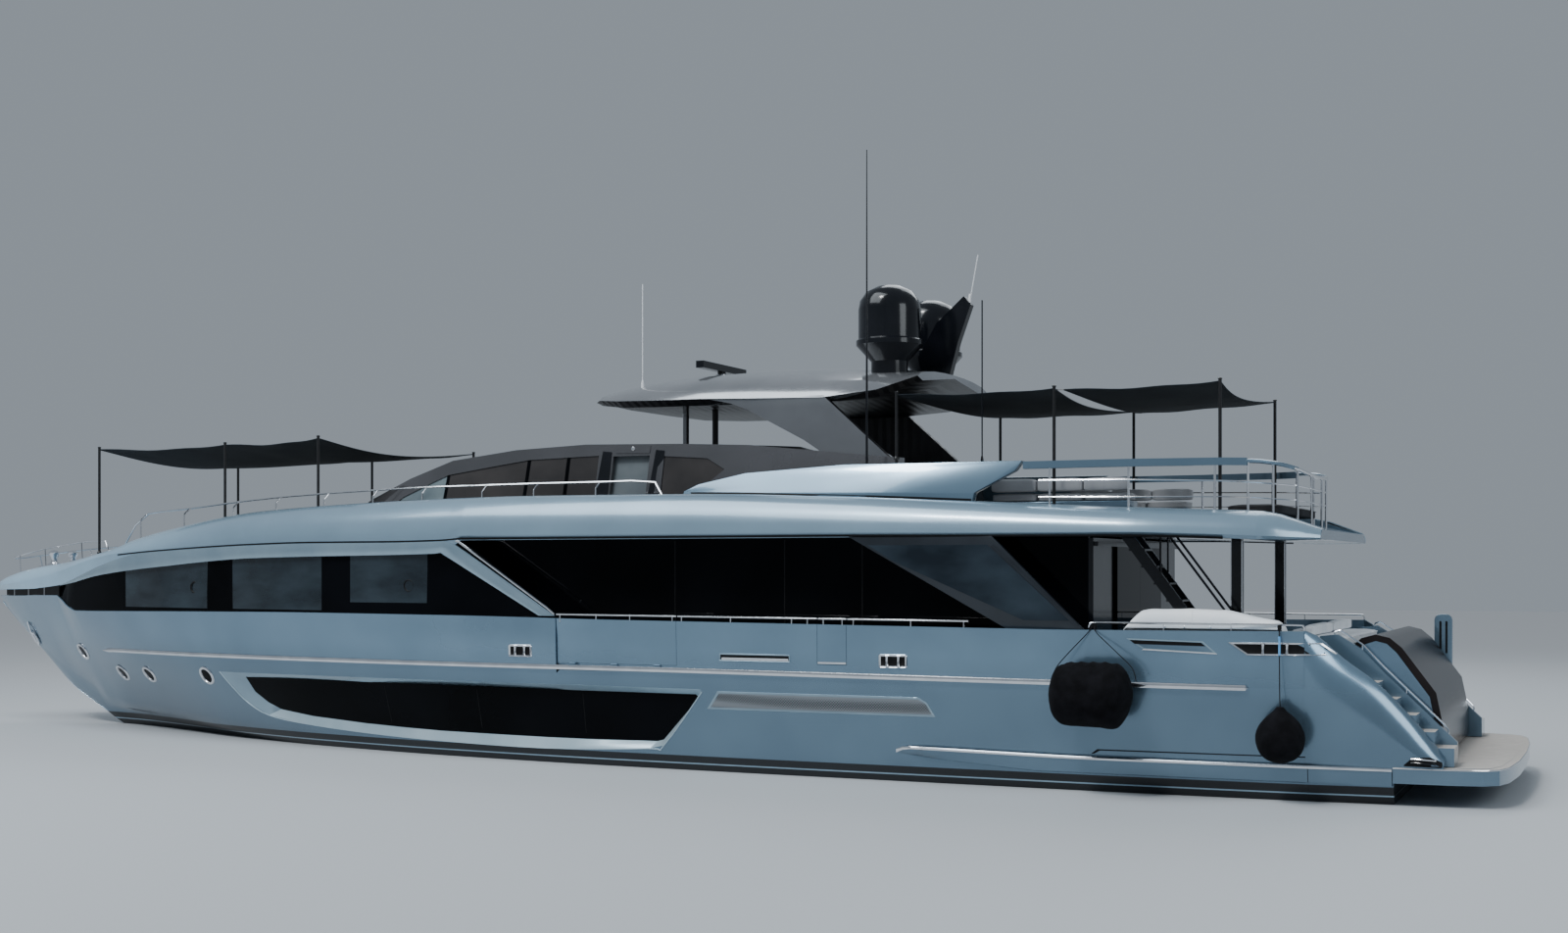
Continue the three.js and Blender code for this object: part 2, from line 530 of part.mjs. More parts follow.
// Hardtop: x, half width, crown z, lip z, underside z at the lip
const HARDTOP = [
  [0.10, 0.80, 6.76, 6.70, 6.66],
  [0.60, 1.55, 6.91, 6.66, 6.58],
  [1.20, 1.90, 7.03, 6.60, 6.50],
  [2.00, 2.06, 7.12, 6.57, 6.47],
  [3.00, 2.10, 7.18, 6.56, 6.46],
  [4.00, 2.10, 7.20, 6.53, 6.45],
  [5.40, 2.08, 7.17, 6.50, 6.44],
  [6.40, 2.02, 7.10, 6.60, 6.50],
  [7.12, 1.90, 7.00, 6.82, 6.76],
];

// The crowned roof, hollow below: the share of the half width and of the rise at each line of the crown
const CROWN_LINES = [[0.93, 0.30], [0.80, 0.58], [0.55, 0.84], [0.28, 0.96]];
const LIP_IN = 0.25;            // from the lip to the edge of the underside
const HOLLOW = 0.18;            // rise of the underside amidships

const hardtopBody = (grow = 0) => loft(HARDTOP.map(([x, half, crown, lip, under]) => {
  const top = CROWN_LINES.map(([v, w]) => [half * v + grow, lip + (crown - lip) * w + grow]);
  const ring = [[half - LIP_IN + grow, under - grow], [half + grow, lip + grow], ...top];
  return bothSides(x, ring, under + HOLLOW * Math.min(1, x) - grow, crown + grow);
}));

function hardtop() {
  const blade = [[3.20, 6.54], [3.60, 6.46], [3.95, 6.33], [4.47, 6.06], [5.05, 5.76], [5.60, 5.40], [6.90, 5.20],
    [5.42, 6.53]];
  const wing = plateXZ(blade, -2.07, -1.92);
  const seat = houseBody(-GAP);
  const port = cut(wing, seat);
  const pillars = [-0.62, 0.62].map((y) => rod([1.95, y, 5.70], [1.95, y, 6.66], 0.06, 10));
  const legs = pillars.map((pillar) => cut(pillar, seat));
  const foot = rod([2.40, 0, 6.95], [2.40, 0, 7.22], 0.16, 16, 0.12);
  piece('hardtop', join(hardtopBody(), port, mirrored(port), ...legs, foot), 'grey');
  const bar = box(2.40 - 0.08, 2.40 + 0.08, -0.92, 0.92, 7.27, 7.40);
  const hub = rod([2.40, 0, 7.22 + GAP], [2.40, 0, 7.30], 0.08, 16);
  piece('radar_bar', join(bar, hub), 'black');
}

function mastAndDomes() {
  const profile = [[0, 0], [0.33, 0], [0.33, 0.38], [0.57, 0.64], [0.60, 0.67], [0.60, 0.75], [0.56, 0.78], [0.56, 1.30],
    [0.53, 1.46], [0.42, 1.62], [0.22, 1.72], [0, 1.745]];
  const roof = hardtopBody(GAP);
  const dome = cut(turned(profile, 24, 6.27, -1.05, 6.80), roof);
  piece('radome_port', dome, 'black');
  piece('radome_starboard', mirrored(dome), 'black');
  const fin = [[6.52, 7.01], [6.45, 7.35], [6.80, 7.95], [7.33, 8.42], [7.46, 8.26], [7.22, 7.60], [7.06, 7.005]];
  piece('mast', cut(plateXZ(fin, -0.09, 0.09), roof), 'black');
}

// Bathing platform
function platform() {
  const half = [[TRANSOM_X, 3.36], [15.90, 3.32], [16.35, 3.22], [16.55, 3.02], [16.66, 2.60], [16.74, 1.50],
    [PLATFORM_X, 0]];
  const points = [...half, ...half.slice(0, -1).reverse().map(([x, y]) => [x, -y])]
    .map(([x, y]) => [x === TRANSOM_X ? x + GAP : x, y]);
  const panel = [[15.98, 3.12], [16.28, 3.08], [16.44, 2.94], [16.55, 2.52], [16.63, 1.45], [16.66, 0]];
  const top = [...panel, ...panel.slice(0, -1).reverse().map(([x, y]) => [x, -y])];
  piece('swim_platform', join(plateXY(points, 0.34, PLATFORM_Z - 0.006), plateXY(top, 0.5, PLATFORM_Z)), 'teak');
}

// Stern: the garage between two stairs. Its lid is hinged at the forward edge.
const GARAGE = { half: 2.34, x0: 13.60, top: 2.28, lidX: 14.28 };
const LID_SEAT = [[14.28, 2.19], [14.42, 2.19], [14.56, 2.33], [14.74, 2.39], [14.90, 2.35], [15.04, 2.22],
  [15.52, 1.56], [15.62, 1.05], [15.62, 0.60]];
const LID_SKIN = [[15.72, 0.62], [15.72, 1.08], [15.61, 1.62], [15.12, 2.29], [14.94, 2.44], [14.73, 2.49],
  [14.52, 2.43], [14.40, 2.31], [14.28, 2.28]];
const SIDE_WALL = 0.12;         // between the inside and the outside of the garage

const garageSide = () => [[GARAGE.x0, 0.60], [GARAGE.x0, GARAGE.top], [GARAGE.lidX, GARAGE.top], ...LID_SEAT];

function lid() {
  const half = GARAGE.half - 0.03;
  const skin = plateXZ([...LID_SEAT, ...LID_SKIN].map(([x, z]) => [x + GAP, z]), -half, half);
  const seat = plateXZ(garageSide().map(([x, z]) => [x + GAP, z + GAP]), -3, 3);
  piece('garage_lid', cut(skin, seat), 'hatch');
}

// Wing outside the stairs: x, foot y, y and z of the shoulder's lower line, y and z of its upper line
const STERN_WING = [
  [13.853, 3.345, 3.455, 2.40, 3.41, 2.56],
  [13.98, 3.342, 3.450, 2.12, 3.29, 2.50],
  [14.10, 3.340, 3.445, 1.95, 3.22, 2.40],
  [14.31, 3.335, 3.430, 1.76, 3.18, 2.20],
  [14.83, 3.330, 3.400, 1.28, 3.15, 1.81],
  [15.26, 3.325, 3.370, 0.90, 3.13, 1.38],
  [15.65, 3.315, 3.335, 0.64, 3.10, 0.92],
  [15.80, 3.310, 3.325, 0.60, 3.09, 0.72],
];
// Wall inboard of the stairs with its top line, and the aft edge and height of each tread
const INNER_WALL = {
  y0: -2.50, y1: -2.38, top: [[13.93, 2.46], [14.20, 2.49], [14.54, 2.28], [14.85, 1.95], [15.93, 0.90]],
};
const TREADS = [[14.87, 1.80], [15.13, 1.56], [15.40, 1.33], [15.66, 1.09], [15.93, 0.86]];
const STERN_X = COCKPIT_X + 0.03;

const innerWall = (grow = 0) => {
  const { y0, y1, top } = INNER_WALL;
  return plateXZ([[STERN_X, 0.585], ...top.map(([x, z]) => [x, z + grow]), [15.93, 0.585]], y0 - grow, y1 + grow);
};

function sternStairs() {
  const foot = 0.50 + GAP;
  const wing = loft(STERN_WING.map(([x, fy, ay, az, by, bz]) => [
    [x, -fy, foot], [x, -ay, az], [x, -by, bz], [x, 0.09 - by, bz], [x, -3.00, foot],
  ]));
  const profile = [[STERN_X, 0.585], [STERN_X, TREADS[0][1]]];
  TREADS.forEach(([x, z], i) => {
    profile.push([x, z], [x, i + 1 < TREADS.length ? TREADS[i + 1][1] : 0.585]);
  });
  const stair = plateXZ(profile, -3.06, INNER_WALL.y0 + 0.01);
  const base = box(STERN_X, TRANSOM_X - 0.02, -3.20, INNER_WALL.y1, foot, 0.60);
  const all = cut(
    join(stair, wing, innerWall(), base),
    box(TRANSOM_X - 0.01, 17, -4, -2, 0, PLATFORM_Z - 0.006 + GAP),
    box(13, COCKPIT_X + 0.02 + GAP, -4, -2, 0, DECK_Z + GAP),
  );
  piece('stern_stairs_port', all, 'blue');
  piece('stern_stairs_starboard', mirrored(all), 'blue');
}

// Upright post on the starboard inner wall, which carries the gangway's winch
function gangwayPost() {
  const [x0, x1] = [15.15, 15.45];
  const [z0, z1] = [1.2, 2.70];
  const arc = [0, 30, 60, 90].map((a) => a * Math.PI / 180);
  const r = 0.10;
  const profile = [[x0, z0], [x1, z0], ...arc.map((a) => [x1 - r + r * Math.cos(a), z1 - r + r * Math.sin(a)]),
    ...arc.map((a) => [x0 + r - r * Math.sin(a), z1 - r + r * Math.cos(a)])];
  const post = plateXZ(profile, -INNER_WALL.y1 + 0.005, -INNER_WALL.y0 - 0.005);
  piece('gangway_post', cut(post, mirrored(innerWall(GAP))), 'blue');
}

// Strake low on the side, where fenders rub
function strake() {
  const ends = [[7.47, 0.002, 0.52], [7.70, 0.055, 0.52], [10.0, 0.055, 0.52], [12.5, 0.055, 0.52],
    [COCKPIT_X + 0.015, 0.060, 0.52], [COCKPIT_X + 0.02, 0.060, 0.495], [TRANSOM_X - 0.01, 0.14, 0.495]];
  return sideWall(ends.map(([x, out, top]) => {
    const side = (z) => {
      const [y0, z0, y1, z1] = [4, 5, 6, 7].map((column) => at(HULL, x, column));
      return y0 + (y1 - y0) * (z - z0) / (z1 - z0) + out;
    };
    return [x, side(0.29), 0.29, side(top), top];
  }), 0.25);
}

// Hull with its garage, shaft tubes and rudder bores
function hull() {
  const body = hullBody();
  const inside = GARAGE.half - SIDE_WALL;
  const house = cut(plateXZ(garageSide(), -GARAGE.half, GARAGE.half), box(13.72, 16, -inside, inside, 0.55, 2.08));
  const parts = [];
  for (const s of [-1, 1]) {
    const d = new THREE.Vector3(SHAFT.x1 - SHAFT.x0, 0, SHAFT.z1 - SHAFT.z0).normalize();
    parts.push(rod([SHAFT.x0 - 0.3 * d.x, s * SHAFT.y, SHAFT.z0 - 0.3 * d.z],
      [SHAFT.x0 + 3 * d.x, s * SHAFT.y, SHAFT.z0 + 3 * d.z], SHAFT.r + 0.0006, 32));
    parts.push(rod([RUDDER.x, s * RUDDER.y, -1.6], [RUDDER.x, s * RUDDER.y, RUDDER.topZ + 0.0006], RUDDER.r + 0.0006, 32));
    const along = (t) => [FIN.x, s * (FIN.y + FIN.out * t), FIN.z - FIN.down * t];
    parts.push(rod(along(-0.3), along(1), FIN.r + 0.0006, 32));
  }
  const well = join(box(11.9, 14, -1.35, 1.35, 0.55, 1.54), box(13.72, 16, -inside, inside, 0.55, 1.54));
  const floor = box(10.72, 13.45, -1.85, 1.85, DECK_Z - 0.1, FLOOR_Z);
  const band = strake();
  piece('hull', cut(join(body, house, floor, band, mirrored(band)), well, ...parts), 'blue');
}

function runningGear() {
  const { y, x0, z0, x1, z1, r } = SHAFT;
  const d = new THREE.Vector3(x1 - x0, 0, z1 - z0).normalize();
  const on = (t) => [x1 + d.x * t, -y, z1 + d.z * t];
  const shaft = rod([x0 - 0.25 * d.x, -y, z0 - 0.25 * d.z], on(0.10), r, 32);
  const hub = rod(on(0), on(0.34), 0.13, 20, 0.09);
  const blades = [];
  for (let i = 0; i < 5; i += 1) {
    const blade = new THREE.SphereGeometry(1, 8, 6).scale(0.035, 0.16, 0.24)
      .rotateZ(0.55).translate(0, 0, 0.33);
    blades.push(blade.rotateX((2 * Math.PI * i) / 5));
  }
  const tilt = Math.atan2(z1 - z0, x1 - x0);
  const prop = join(shaft, hub, ...blades.map((b) => b.rotateY(-tilt).translate(...on(0.16))));
  piece('propeller_port', prop, 'bronze');
  piece('propeller_starboard', mirrored(prop), 'bronze');
  const ring = cut(rod(on(-0.42), on(-0.10), 0.10, 24), rod(on(-0.6), on(0.1), r + 0.0006, 32));
  const arm = (topY) => loft([0, 1].map((k) => {
    const x = on(-0.26)[0] + (k ? 0.10 : -0.10);
    const z = on(-0.26)[2] + 0.05;
    return [[x, -y - 0.02, z], [x, -y + 0.02, z], [x, topY + 0.02, -0.70], [x, topY - 0.02, -0.70]];
  }));
  const bottom = hullBody(-GAP).translate(0, 0, -GAP);
  const inside = rod(on(-0.6), on(0.1), 0.08, 16);
  const strut = cut(join(ring, cut(arm(-0.95), inside), cut(arm(-1.75), inside)), bottom);
  piece('strut_port', strut, 'bronze');
  piece('strut_starboard', mirrored(strut), 'bronze');
}

function rudders() {
  const { x, y, r, topZ } = RUDDER;
  const stock = rod([x, -y, topZ], [x, -y, -1.2], r, 32);
  const blade = loft([-0.28, -0.05, 0.20, 0.52].map((dx, i) => {
    const t = [0.012, 0.05, 0.045, 0.008][i];
    const top = -0.98 + 0.02 * i;
    return [[x + dx, -y - t, -1.98], [x + dx, -y + t, -1.98], [x + dx, -y + t, top], [x + dx, -y - t, top]];
  }));
  const whole = join(stock, blade);
  piece('rudder_port', whole, 'bronze');
  piece('rudder_starboard', mirrored(whole), 'bronze');
}

function stabilisers() {
  const { x, y, z, r } = FIN;
  const d = new THREE.Vector3(0, -FIN.out, -FIN.down).normalize();
  const on = (t) => [x, -y + d.y * t, z + d.z * t];
  const post = rod(on(-0.28), on(0.35), r, 32);
  const n = new THREE.Vector3(0, -d.z, d.y);
  const ring = (t, x0, x1, half) => [[x0, -half / 3], [0, -half], [x1, -half / 4], [x1, half / 4], [0, half], [x0, half / 3]]
    .map(([px, h]) => [x + px, on(t)[1] + n.y * h, on(t)[2] + n.z * h]);
  const blade = loft([ring(0.12, -0.55, 0.75, 0.07), ring(1.20, -0.40, 0.45, 0.035)], [0, 2]);
  const fin = join(post, blade);
  piece('stabiliser_port', fin, 'bottom');
  piece('stabiliser_starboard', mirrored(fin), 'bottom');
}

// Handrail along the coachroof. Its posts stand on the crown and lean in at the head.
const SIDE_RAIL = [[-11.30, -1.62, 3.60], [-10.95, -1.66, 4.22], [-10.43, -1.70, 4.65], [-8.93, -2.04, 4.74],
  [-7.40, -2.31, 4.85], [-6.17, -2.48, 4.92], [-4.89, -2.60, 4.97], [-3.66, -2.68, 5.01], [-2.48, -2.74, 5.04],
  [-1.10, -2.79, 5.05], [0.03, -2.80, 5.06], [1.34, -2.81, 5.06], [2.45, -2.82, 5.05], [2.80, -3.03, 4.70]];

function sideRails() {
  const posts = SIDE_RAIL.slice(2, -2).flatMap(([x, y, z]) => [
    rod([x, y, z], [x + 0.04, y - 0.21, z - 0.13], 0.014, 6),
    rod([x + 0.04, y - 0.21, z - 0.12], [x + 0.04, y - 0.21, at(UPPER, x, 6) - 0.1], 0.014, 6),
  ]);
  const rail = cut(join(pipe(SIDE_RAIL, 0.019, 30, 6), ...posts), deckBody(GAP));
  piece('side_rail_port', rail, 'steel');
  piece('side_rail_starboard', mirrored(rail), 'steel');
}

// Rail round the bow: half of its route, from the aft foot to the stem
const BOW_RAIL = [[-11.66, -1.58, 3.60], [-11.60, -1.60, 4.05], [-12.10, -1.44, 4.10], [-12.77, -1.22, 4.08],
  [-14.42, -0.68, 3.95], [-15.60, -0.30, 3.80], [-16.02, -0.12, 3.74]];

function bowRail() {
  const route = [...BOW_RAIL, ...BOW_RAIL.slice().reverse().map(([x, y, z]) => [x, -y, z])];
  const posts = [3, 4, 5].flatMap((i) => [1, -1].map((side) => {
    const [x, y, z] = BOW_RAIL[i];
    return rod([x, side * y, z], [x + 0.10, side * (y - 0.06), at(UPPER, x, 6) - 0.1], 0.014, 6);
  }));
  piece('bow_rail', cut(join(pipe(route, 0.017, 36, 6), ...posts), deckBody(GAP)), 'steel');
}

// Windlass: a plate with two drums on the bow deck
function windlass() {
  const drum = [[0, 0], [0.15, 0], [0.15, 0.06], [0.08, 0.10], [0.07, 0.20], [0.12, 0.28], [0.12, 0.33],
    [0.05, 0.37], [0, 0.38]];
  const drums = [-0.28, 0.28].map((y) => turned(drum, 12, -14.55, y, 3.54));
  const plate = box(-14.85, -14.25, -0.46, 0.46, 3.30, 3.56);
  piece('windlass', cut(join(plate, ...drums), deckBody(GAP)), 'steel');
}

// An awning: a cloth between the heads of poles. rows holds [x, y, z] of the port and the
// starboard head, from forward to aft. The cloth's edges are cut hollow and its middle sags. Corners
// at the x of seat.tied have no pole of their own.
function awning(name, rows, sag, hollow, seat) {
  const steps = 4;
  const across = 6;
  const mix = (a, b, t) => a + (b - a) * t;
  const cloth = [];
  for (let i = 0; i + 1 < rows.length; i += 1) {
    for (let k = i ? 1 : 0; k <= steps; k += 1) {
      const t = k / steps;
      const bow = Math.sin(Math.PI * t);
      const ends = [0, 1].map((side) => {
        const [a, b] = [rows[i][side], rows[i + 1][side]];
        return [mix(a[0], b[0], t), mix(a[1], b[1], t) - Math.sign(a[1]) * hollow * bow, mix(a[2], b[2], t) - sag * bow / 4];
      });
      const pull = hollow * (1 - 2 * (i + t) / (rows.length - 1));
      cloth.push(Array.from({ length: across + 1 }, (_, j) => {
        const v = j / across;
        const belly = Math.sin(Math.PI * v);
        const [x, y, z] = [0, 1, 2].map((axis) => mix(ends[0][axis], ends[1][axis], v));
        return [x + pull * belly, y, z - sag * belly];
      }));
    }
  }
  const skin = (dz) => (row) => row.map(([x, y, z]) => [x, y, z + dz]);
  const body = loft(cloth.map((row) => [...skin(0.006)(row), ...skin(-0.006)(row).reverse()]));
  const poles = rows.flat().filter(([x]) => x !== seat.tied)
    .map(([x, y, z]) => rod([x, y, seat.foot(x)], [x, y, z + 0.04], 0.028, 10));
  piece(name, join(body, ...poles.map((pole) => cut(pole, ...seat.solids))), 'cloth');
}

const FORE_AWNING = [
  [[-11.74, -1.72, 6.06], [-11.05, 1.85, 5.84]],
  [[-7.94, -2.10, 6.03], [-7.45, 2.12, 5.94]],
  [[-5.40, -2.30, 6.08], [-4.85, 2.30, 6.00]],
];
const FLY_AWNING = {
  forward: [[[7.01, -2.62, 6.43], [7.14, 2.62, 6.42]], [[9.76, -2.64, 6.42], [9.76, 2.64, 6.44]]],
  aft: [[[9.92, -2.62, 6.40], [9.92, 2.62, 6.42]], [[12.38, -2.35, 6.46], [12.42, 2.35, 6.50]]],
};

function awnings() {
  const deck = deckBody(GAP);
  awning('foredeck_awning', FORE_AWNING, 0.18, 0.16, { foot: (x) => at(UPPER, x, 7) - 0.1, solids: [deck] });
  const screen = flyScreen(GAP);
  const seat = { foot: (x) => (x < 8 ? 5.22 : UPPER_Z - 0.12), solids: [deck, screen, mirrored(screen)] };
  awning('fly_awning_forward', FLY_AWNING.forward, 0.10, 0.14, seat);
  awning('fly_awning_aft', FLY_AWNING.aft, 0.10, 0.14, { ...seat, tied: FLY_AWNING.aft[0][0][0] });
}

// Stairs: two stringers with open treads, and a handrail on each stringer
function cockpitStairs() {
  const { x0, x1, y0, y1, treads } = STAIRS;
  const climb = UPPER_Z - DECK_Z;
  const x = (z) => x1 - (x1 - x0) * (z - DECK_Z) / climb;
  const [low, high] = [DECK_Z + GAP, 4.20];
  const half = 0.11;
  const profile = [[x(low) + half, low], [x(high) + half, high], [x(high) - half, high], [x(low) - half, low]];
  const stringers = [[y0, y0 + 0.04], [y1 - 0.04, y1]].map(([a, b]) => plateXZ(profile, a, b));
  const steps = Array.from({ length: treads }, (_, i) => {
    const z = DECK_Z + climb * (i + 1) / (treads + 1);
    return box(x(z) - 0.13, x(z) + 0.13, y0 + 0.02, y1 - 0.02, z - 0.03, z);
  });
  const rails = [y0 + 0.02, y1 - 0.02].flatMap((y) => [
    rod([x(1.90), y, 1.90], [12.60, y, 2.73], 0.017, 6),
    rod([x(3.30), y, 3.30], [11.50, y, 4.22], 0.017, 6),
    rod([12.62, y, 2.70], [11.45, y, 4.27], 0.019, 6),
  ]);
  piece('cockpit_stairs', join(...stringers, ...steps, ...rails), 'black');
}

// Settee along the port bulwark of the cockpit, under its fitted cover
function settee() {
  const inboard = -2.80;
  const low = DECK_Z + GAP;
  const stations = [[11.10, 2.68], [11.22, 2.80], [11.40, 2.86], [12.60, 2.86], [13.20, 2.75], [13.48, 2.66]];
  piece('covered_settee', loft(stations.map(([x, top]) => [
    [x, inboard, low], [x, inboard, top - 0.10], [x, inboard - 0.09, top], [x, -3.24, top],
    [x, -3.37, top - 0.07], [x, -3.41, 2.575], [x, -3.31, 2.575], [x, -3.31, low],
  ])), 'white');
}

// Fenders on the port side: a long one in its cover, and a ball
const LONG_FENDER = { x: 10.80, y: -4.1233, z: 1.57, r: 0.51, half: 0.645 };
const BALL_FENDER = { x: 13.56, y: -3.821, z: 1.02, r: 0.42 };

function fenders() {
  const { x, y, z, r, half } = LONG_FENDER;
  const profile = [[0, -half], [r - 0.20, -half], [r - 0.06, half * -0.93], [r, half * -0.78],
    [r, half * 0.78], [r - 0.06, half * 0.93], [r - 0.20, half], [0, half]];
  piece('fender_long', turned(profile, 32, 0, 0, 0).rotateY(Math.PI / 2).translate(x, y, z), 'black');
  const ball = BALL_FENDER;
  piece('fender_ball', new THREE.SphereGeometry(ball.r, 20, 12).rotateX(Math.PI / 2).translate(ball.x, ball.y, ball.z), 'black');
}

// Whip antenna on the port side screen
function antenna() {
  const whip = rod([6.47, -2.62, 5.20], [6.47, -2.62, 10.62], 0.022, 10, 0.008);
  piece('antenna_tall', cut(whip, flyScreen(GAP)), 'black');
}

bulwarks();
upperDecks();
ownersWindows();
saloonSides();
saloonAftWall();
sideWings();
wheelhouse();
wheelhouseDoors();
flyCoamings();
hardtop();
mastAndDomes();
platform();
lid();
sternStairs();
gangwayPost();
hull();
runningGear();
rudders();
stabilisers();
flyRail();
sideRails();
bowRail();
windlass();
awnings();
cockpitStairs();
settee();
fenders();
antenna();

export default yacht;
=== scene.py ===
import bpy, math
from mathutils import Matrix, Vector
from mathutils.bvhtree import BVHTree
from mathutils.geometry import convex_hull_2d


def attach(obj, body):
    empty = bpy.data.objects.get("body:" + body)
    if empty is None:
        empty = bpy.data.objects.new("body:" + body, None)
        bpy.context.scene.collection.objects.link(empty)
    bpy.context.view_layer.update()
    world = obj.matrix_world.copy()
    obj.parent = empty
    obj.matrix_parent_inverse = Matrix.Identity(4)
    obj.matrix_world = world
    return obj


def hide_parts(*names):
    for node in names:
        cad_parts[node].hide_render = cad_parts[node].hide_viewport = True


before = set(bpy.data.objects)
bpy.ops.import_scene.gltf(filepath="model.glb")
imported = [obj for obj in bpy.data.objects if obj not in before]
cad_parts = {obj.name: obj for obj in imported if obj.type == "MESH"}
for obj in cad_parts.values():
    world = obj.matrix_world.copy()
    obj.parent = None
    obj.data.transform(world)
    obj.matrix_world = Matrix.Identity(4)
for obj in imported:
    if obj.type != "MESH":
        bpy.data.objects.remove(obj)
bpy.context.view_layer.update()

# The view from off the port quarter, with the eye 3.5 m above the waterline and a lens of 42 mm.
# The lens is shifted a little, because the horizon lies low in the picture.
bpy.ops.object.camera_add(location=(18.30, -31.75, 3.5),
                          rotation=(math.radians(90), 0, math.radians(24.67)))
eye = bpy.context.object
eye.data.lens = 42.4
eye.data.sensor_width = 36
eye.data.shift_y = 0.065
eye.data.clip_end = 400
bpy.context.scene.camera = eye


# Fenders: a long air-filled one and a ball, each in a knitted black cover gathered at its ends. They
# hang outside the bulwark on black rope, lashed round the posts of the cockpit handrail. Blue tape
# is wound round the top of the ball's rope.
def alone(piece):
    """Selects one object, and nothing else, as the active one."""
    bpy.ops.object.select_all(action='DESELECT')
    bpy.context.view_layer.objects.active = piece
    piece.select_set(True)


def finished(piece, name, finish, slot, *nodes, body="yacht"):
    """Names a piece, gives it its finish and lets it ride on its body, in place of CAD nodes if any."""
    alone(piece)
    bpy.ops.object.transform_apply(location=True, rotation=True, scale=True)
    piece.name = name
    piece.data.name = name
    coats = finish if isinstance(finish, (list, tuple)) else [finish]
    parts = [face.material_index for face in piece.data.polygons] if piece.type == 'MESH' else []
    piece.data.materials.clear()
    for one in coats:
        piece.data.materials.append(one)
    for face, part in zip(piece.data.polygons if parts else [], parts):
        face.material_index = min(part, len(coats) - 1)
    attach(piece, body)
    if nodes:
        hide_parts(*nodes)
    return piece


def applied(piece, kind, **settings):
    """Puts a modifier on a piece and applies it."""
    made = piece.modifiers.new(kind.lower(), kind)
    for key, value in settings.items():
        setattr(made, key, value)
    alone(piece)
    bpy.ops.object.modifier_apply(modifier=made.name)
    return piece


def smooth(piece, angle=40):
    """Shades a piece smooth, apart from the edges that are sharper than an angle."""
    alone(piece)
    bpy.ops.object.shade_smooth_by_angle(angle=math.radians(angle))
    return piece


def drawn(rows, closed=False):
    """A mesh object through rows of points, joined row to row; closed joins each row's ends."""
    count = len(rows[0])
    faces = []
    for start in range(0, count * (len(rows) - 1), count):
        for j in range(count if closed else count - 1):
            beside = (j + 1) % count
            faces.append((start + j, start + beside, start + count + beside, start + count + j))
    mesh = bpy.data.meshes.new("drawn")
    mesh.from_pydata([tuple(p) for row in rows for p in row], [], faces)
    piece = bpy.data.objects.new("drawn", mesh)
    bpy.context.scene.collection.objects.link(piece)
    return piece


def outward(piece):
    """Merges the points that meet and turns every face outwards."""
    alone(piece)
    bpy.ops.object.mode_set(mode='EDIT')
    bpy.ops.mesh.select_all(action='SELECT')
    bpy.ops.mesh.remove_doubles(threshold=0.0002)
    bpy.ops.mesh.normals_make_consistent(inside=False)
    bpy.ops.object.mode_set(mode='OBJECT')
    return piece


def on_circle(radius, k, steps):
    """The k-th of so many places round a circle, as two coordinates."""
    turn = 2 * math.pi * k / steps
    return radius * math.cos(turn), radius * math.sin(turn)


def spun(profile, place, steps=32, axis='Z'):
    """A round piece: a profile of (radius, height) spun about its axis at a place."""
    rows = [[(*on_circle(r, k, steps), height) for k in range(steps)] for r, height in profile]
    piece = outward(drawn(rows, closed=True))
    piece.rotation_euler = {'X': (0, math.pi / 2, 0), 'Y': (math.pi / 2, 0, 0), 'Z': (0, 0, 0)}[axis]
    piece.location = place
    alone(piece)
    bpy.ops.object.transform_apply(location=True, rotation=True)
    return smooth(piece, 35)


def eased(points, steps=6):
    """Points on a smooth line through the given ones."""
    out = []
    ends = [points[0]] + list(points) + [points[-1]]
    for i in range(1, len(ends) - 2):
        a, b, c, d = (Vector(p) for p in ends[i - 1:i + 3])
        bend, twist = 2 * a - 5 * b + 4 * c - d, 3 * b - a - 3 * c + d
        out += [0.5 * (2 * b + (c - a) * t + bend * t * t + twist * t ** 3)
                for t in (k / steps for k in range(steps))]
    return out + [Vector(points[-1])]


def line(points, radius, sides=8):
    """A curve through points, as thick as a rope or a tube."""
    data = bpy.data.curves.new("line", 'CURVE')
    data.dimensions = '3D'
    data.bevel_depth = radius
    data.bevel_resolution = max(1, sides // 4 - 1)
    data.use_fill_caps = True
    spline = data.splines.new('POLY')
    spline.points.add(len(points) - 1)
    for knot, p in zip(spline.points, points):
        knot.co = (*p, 1)
    piece = bpy.data.objects.new("line", data)
    bpy.context.scene.collection.objects.link(piece)
    return piece


def tube(points, radius, sides=8):
    """A bent bar or a rope as a mesh."""
    alone(line(points, radius, sides))
    bpy.ops.object.convert(target='MESH')
    return smooth(bpy.context.object)


def welded(pieces):
    """Several meshes as one."""
    bpy.ops.object.select_all(action='DESELECT')
    for piece in pieces:
        piece.select_set(True)
    bpy.context.view_layer.objects.active = pieces[0]
    bpy.ops.object.join()
    return bpy.context.object


def material(name, color, rough, metal=0.0, coat=0.0):
    """A new material, its node tree and its shader, with the plain values set."""
    made = bpy.data.materials.new(name)
    made.use_nodes = True
    shader = made.node_tree.nodes["Principled BSDF"]
    shader.inputs["Base Color"].default_value = (*color, 1)
    shader.inputs["Roughness"].default_value = rough
    shader.inputs["Metallic"].default_value = metal
    shader.inputs["Coat Weight"].default_value = coat
    shader.inputs["Coat Roughness"].default_value = 0.04
    return made, made.node_tree, shader


def node(tree, kind, links=(), **values):
    """A node of a kind, with its values set and other nodes' outputs linked to its sockets."""
    made = tree.nodes.new(kind)
    for key, value in values.items():
        if key in made.inputs:
            made.inputs[key].default_value = value
        else:
            setattr(made, key, value)
    for socket, source in links:
        tree.links.new(source, made.inputs[socket])
    return made


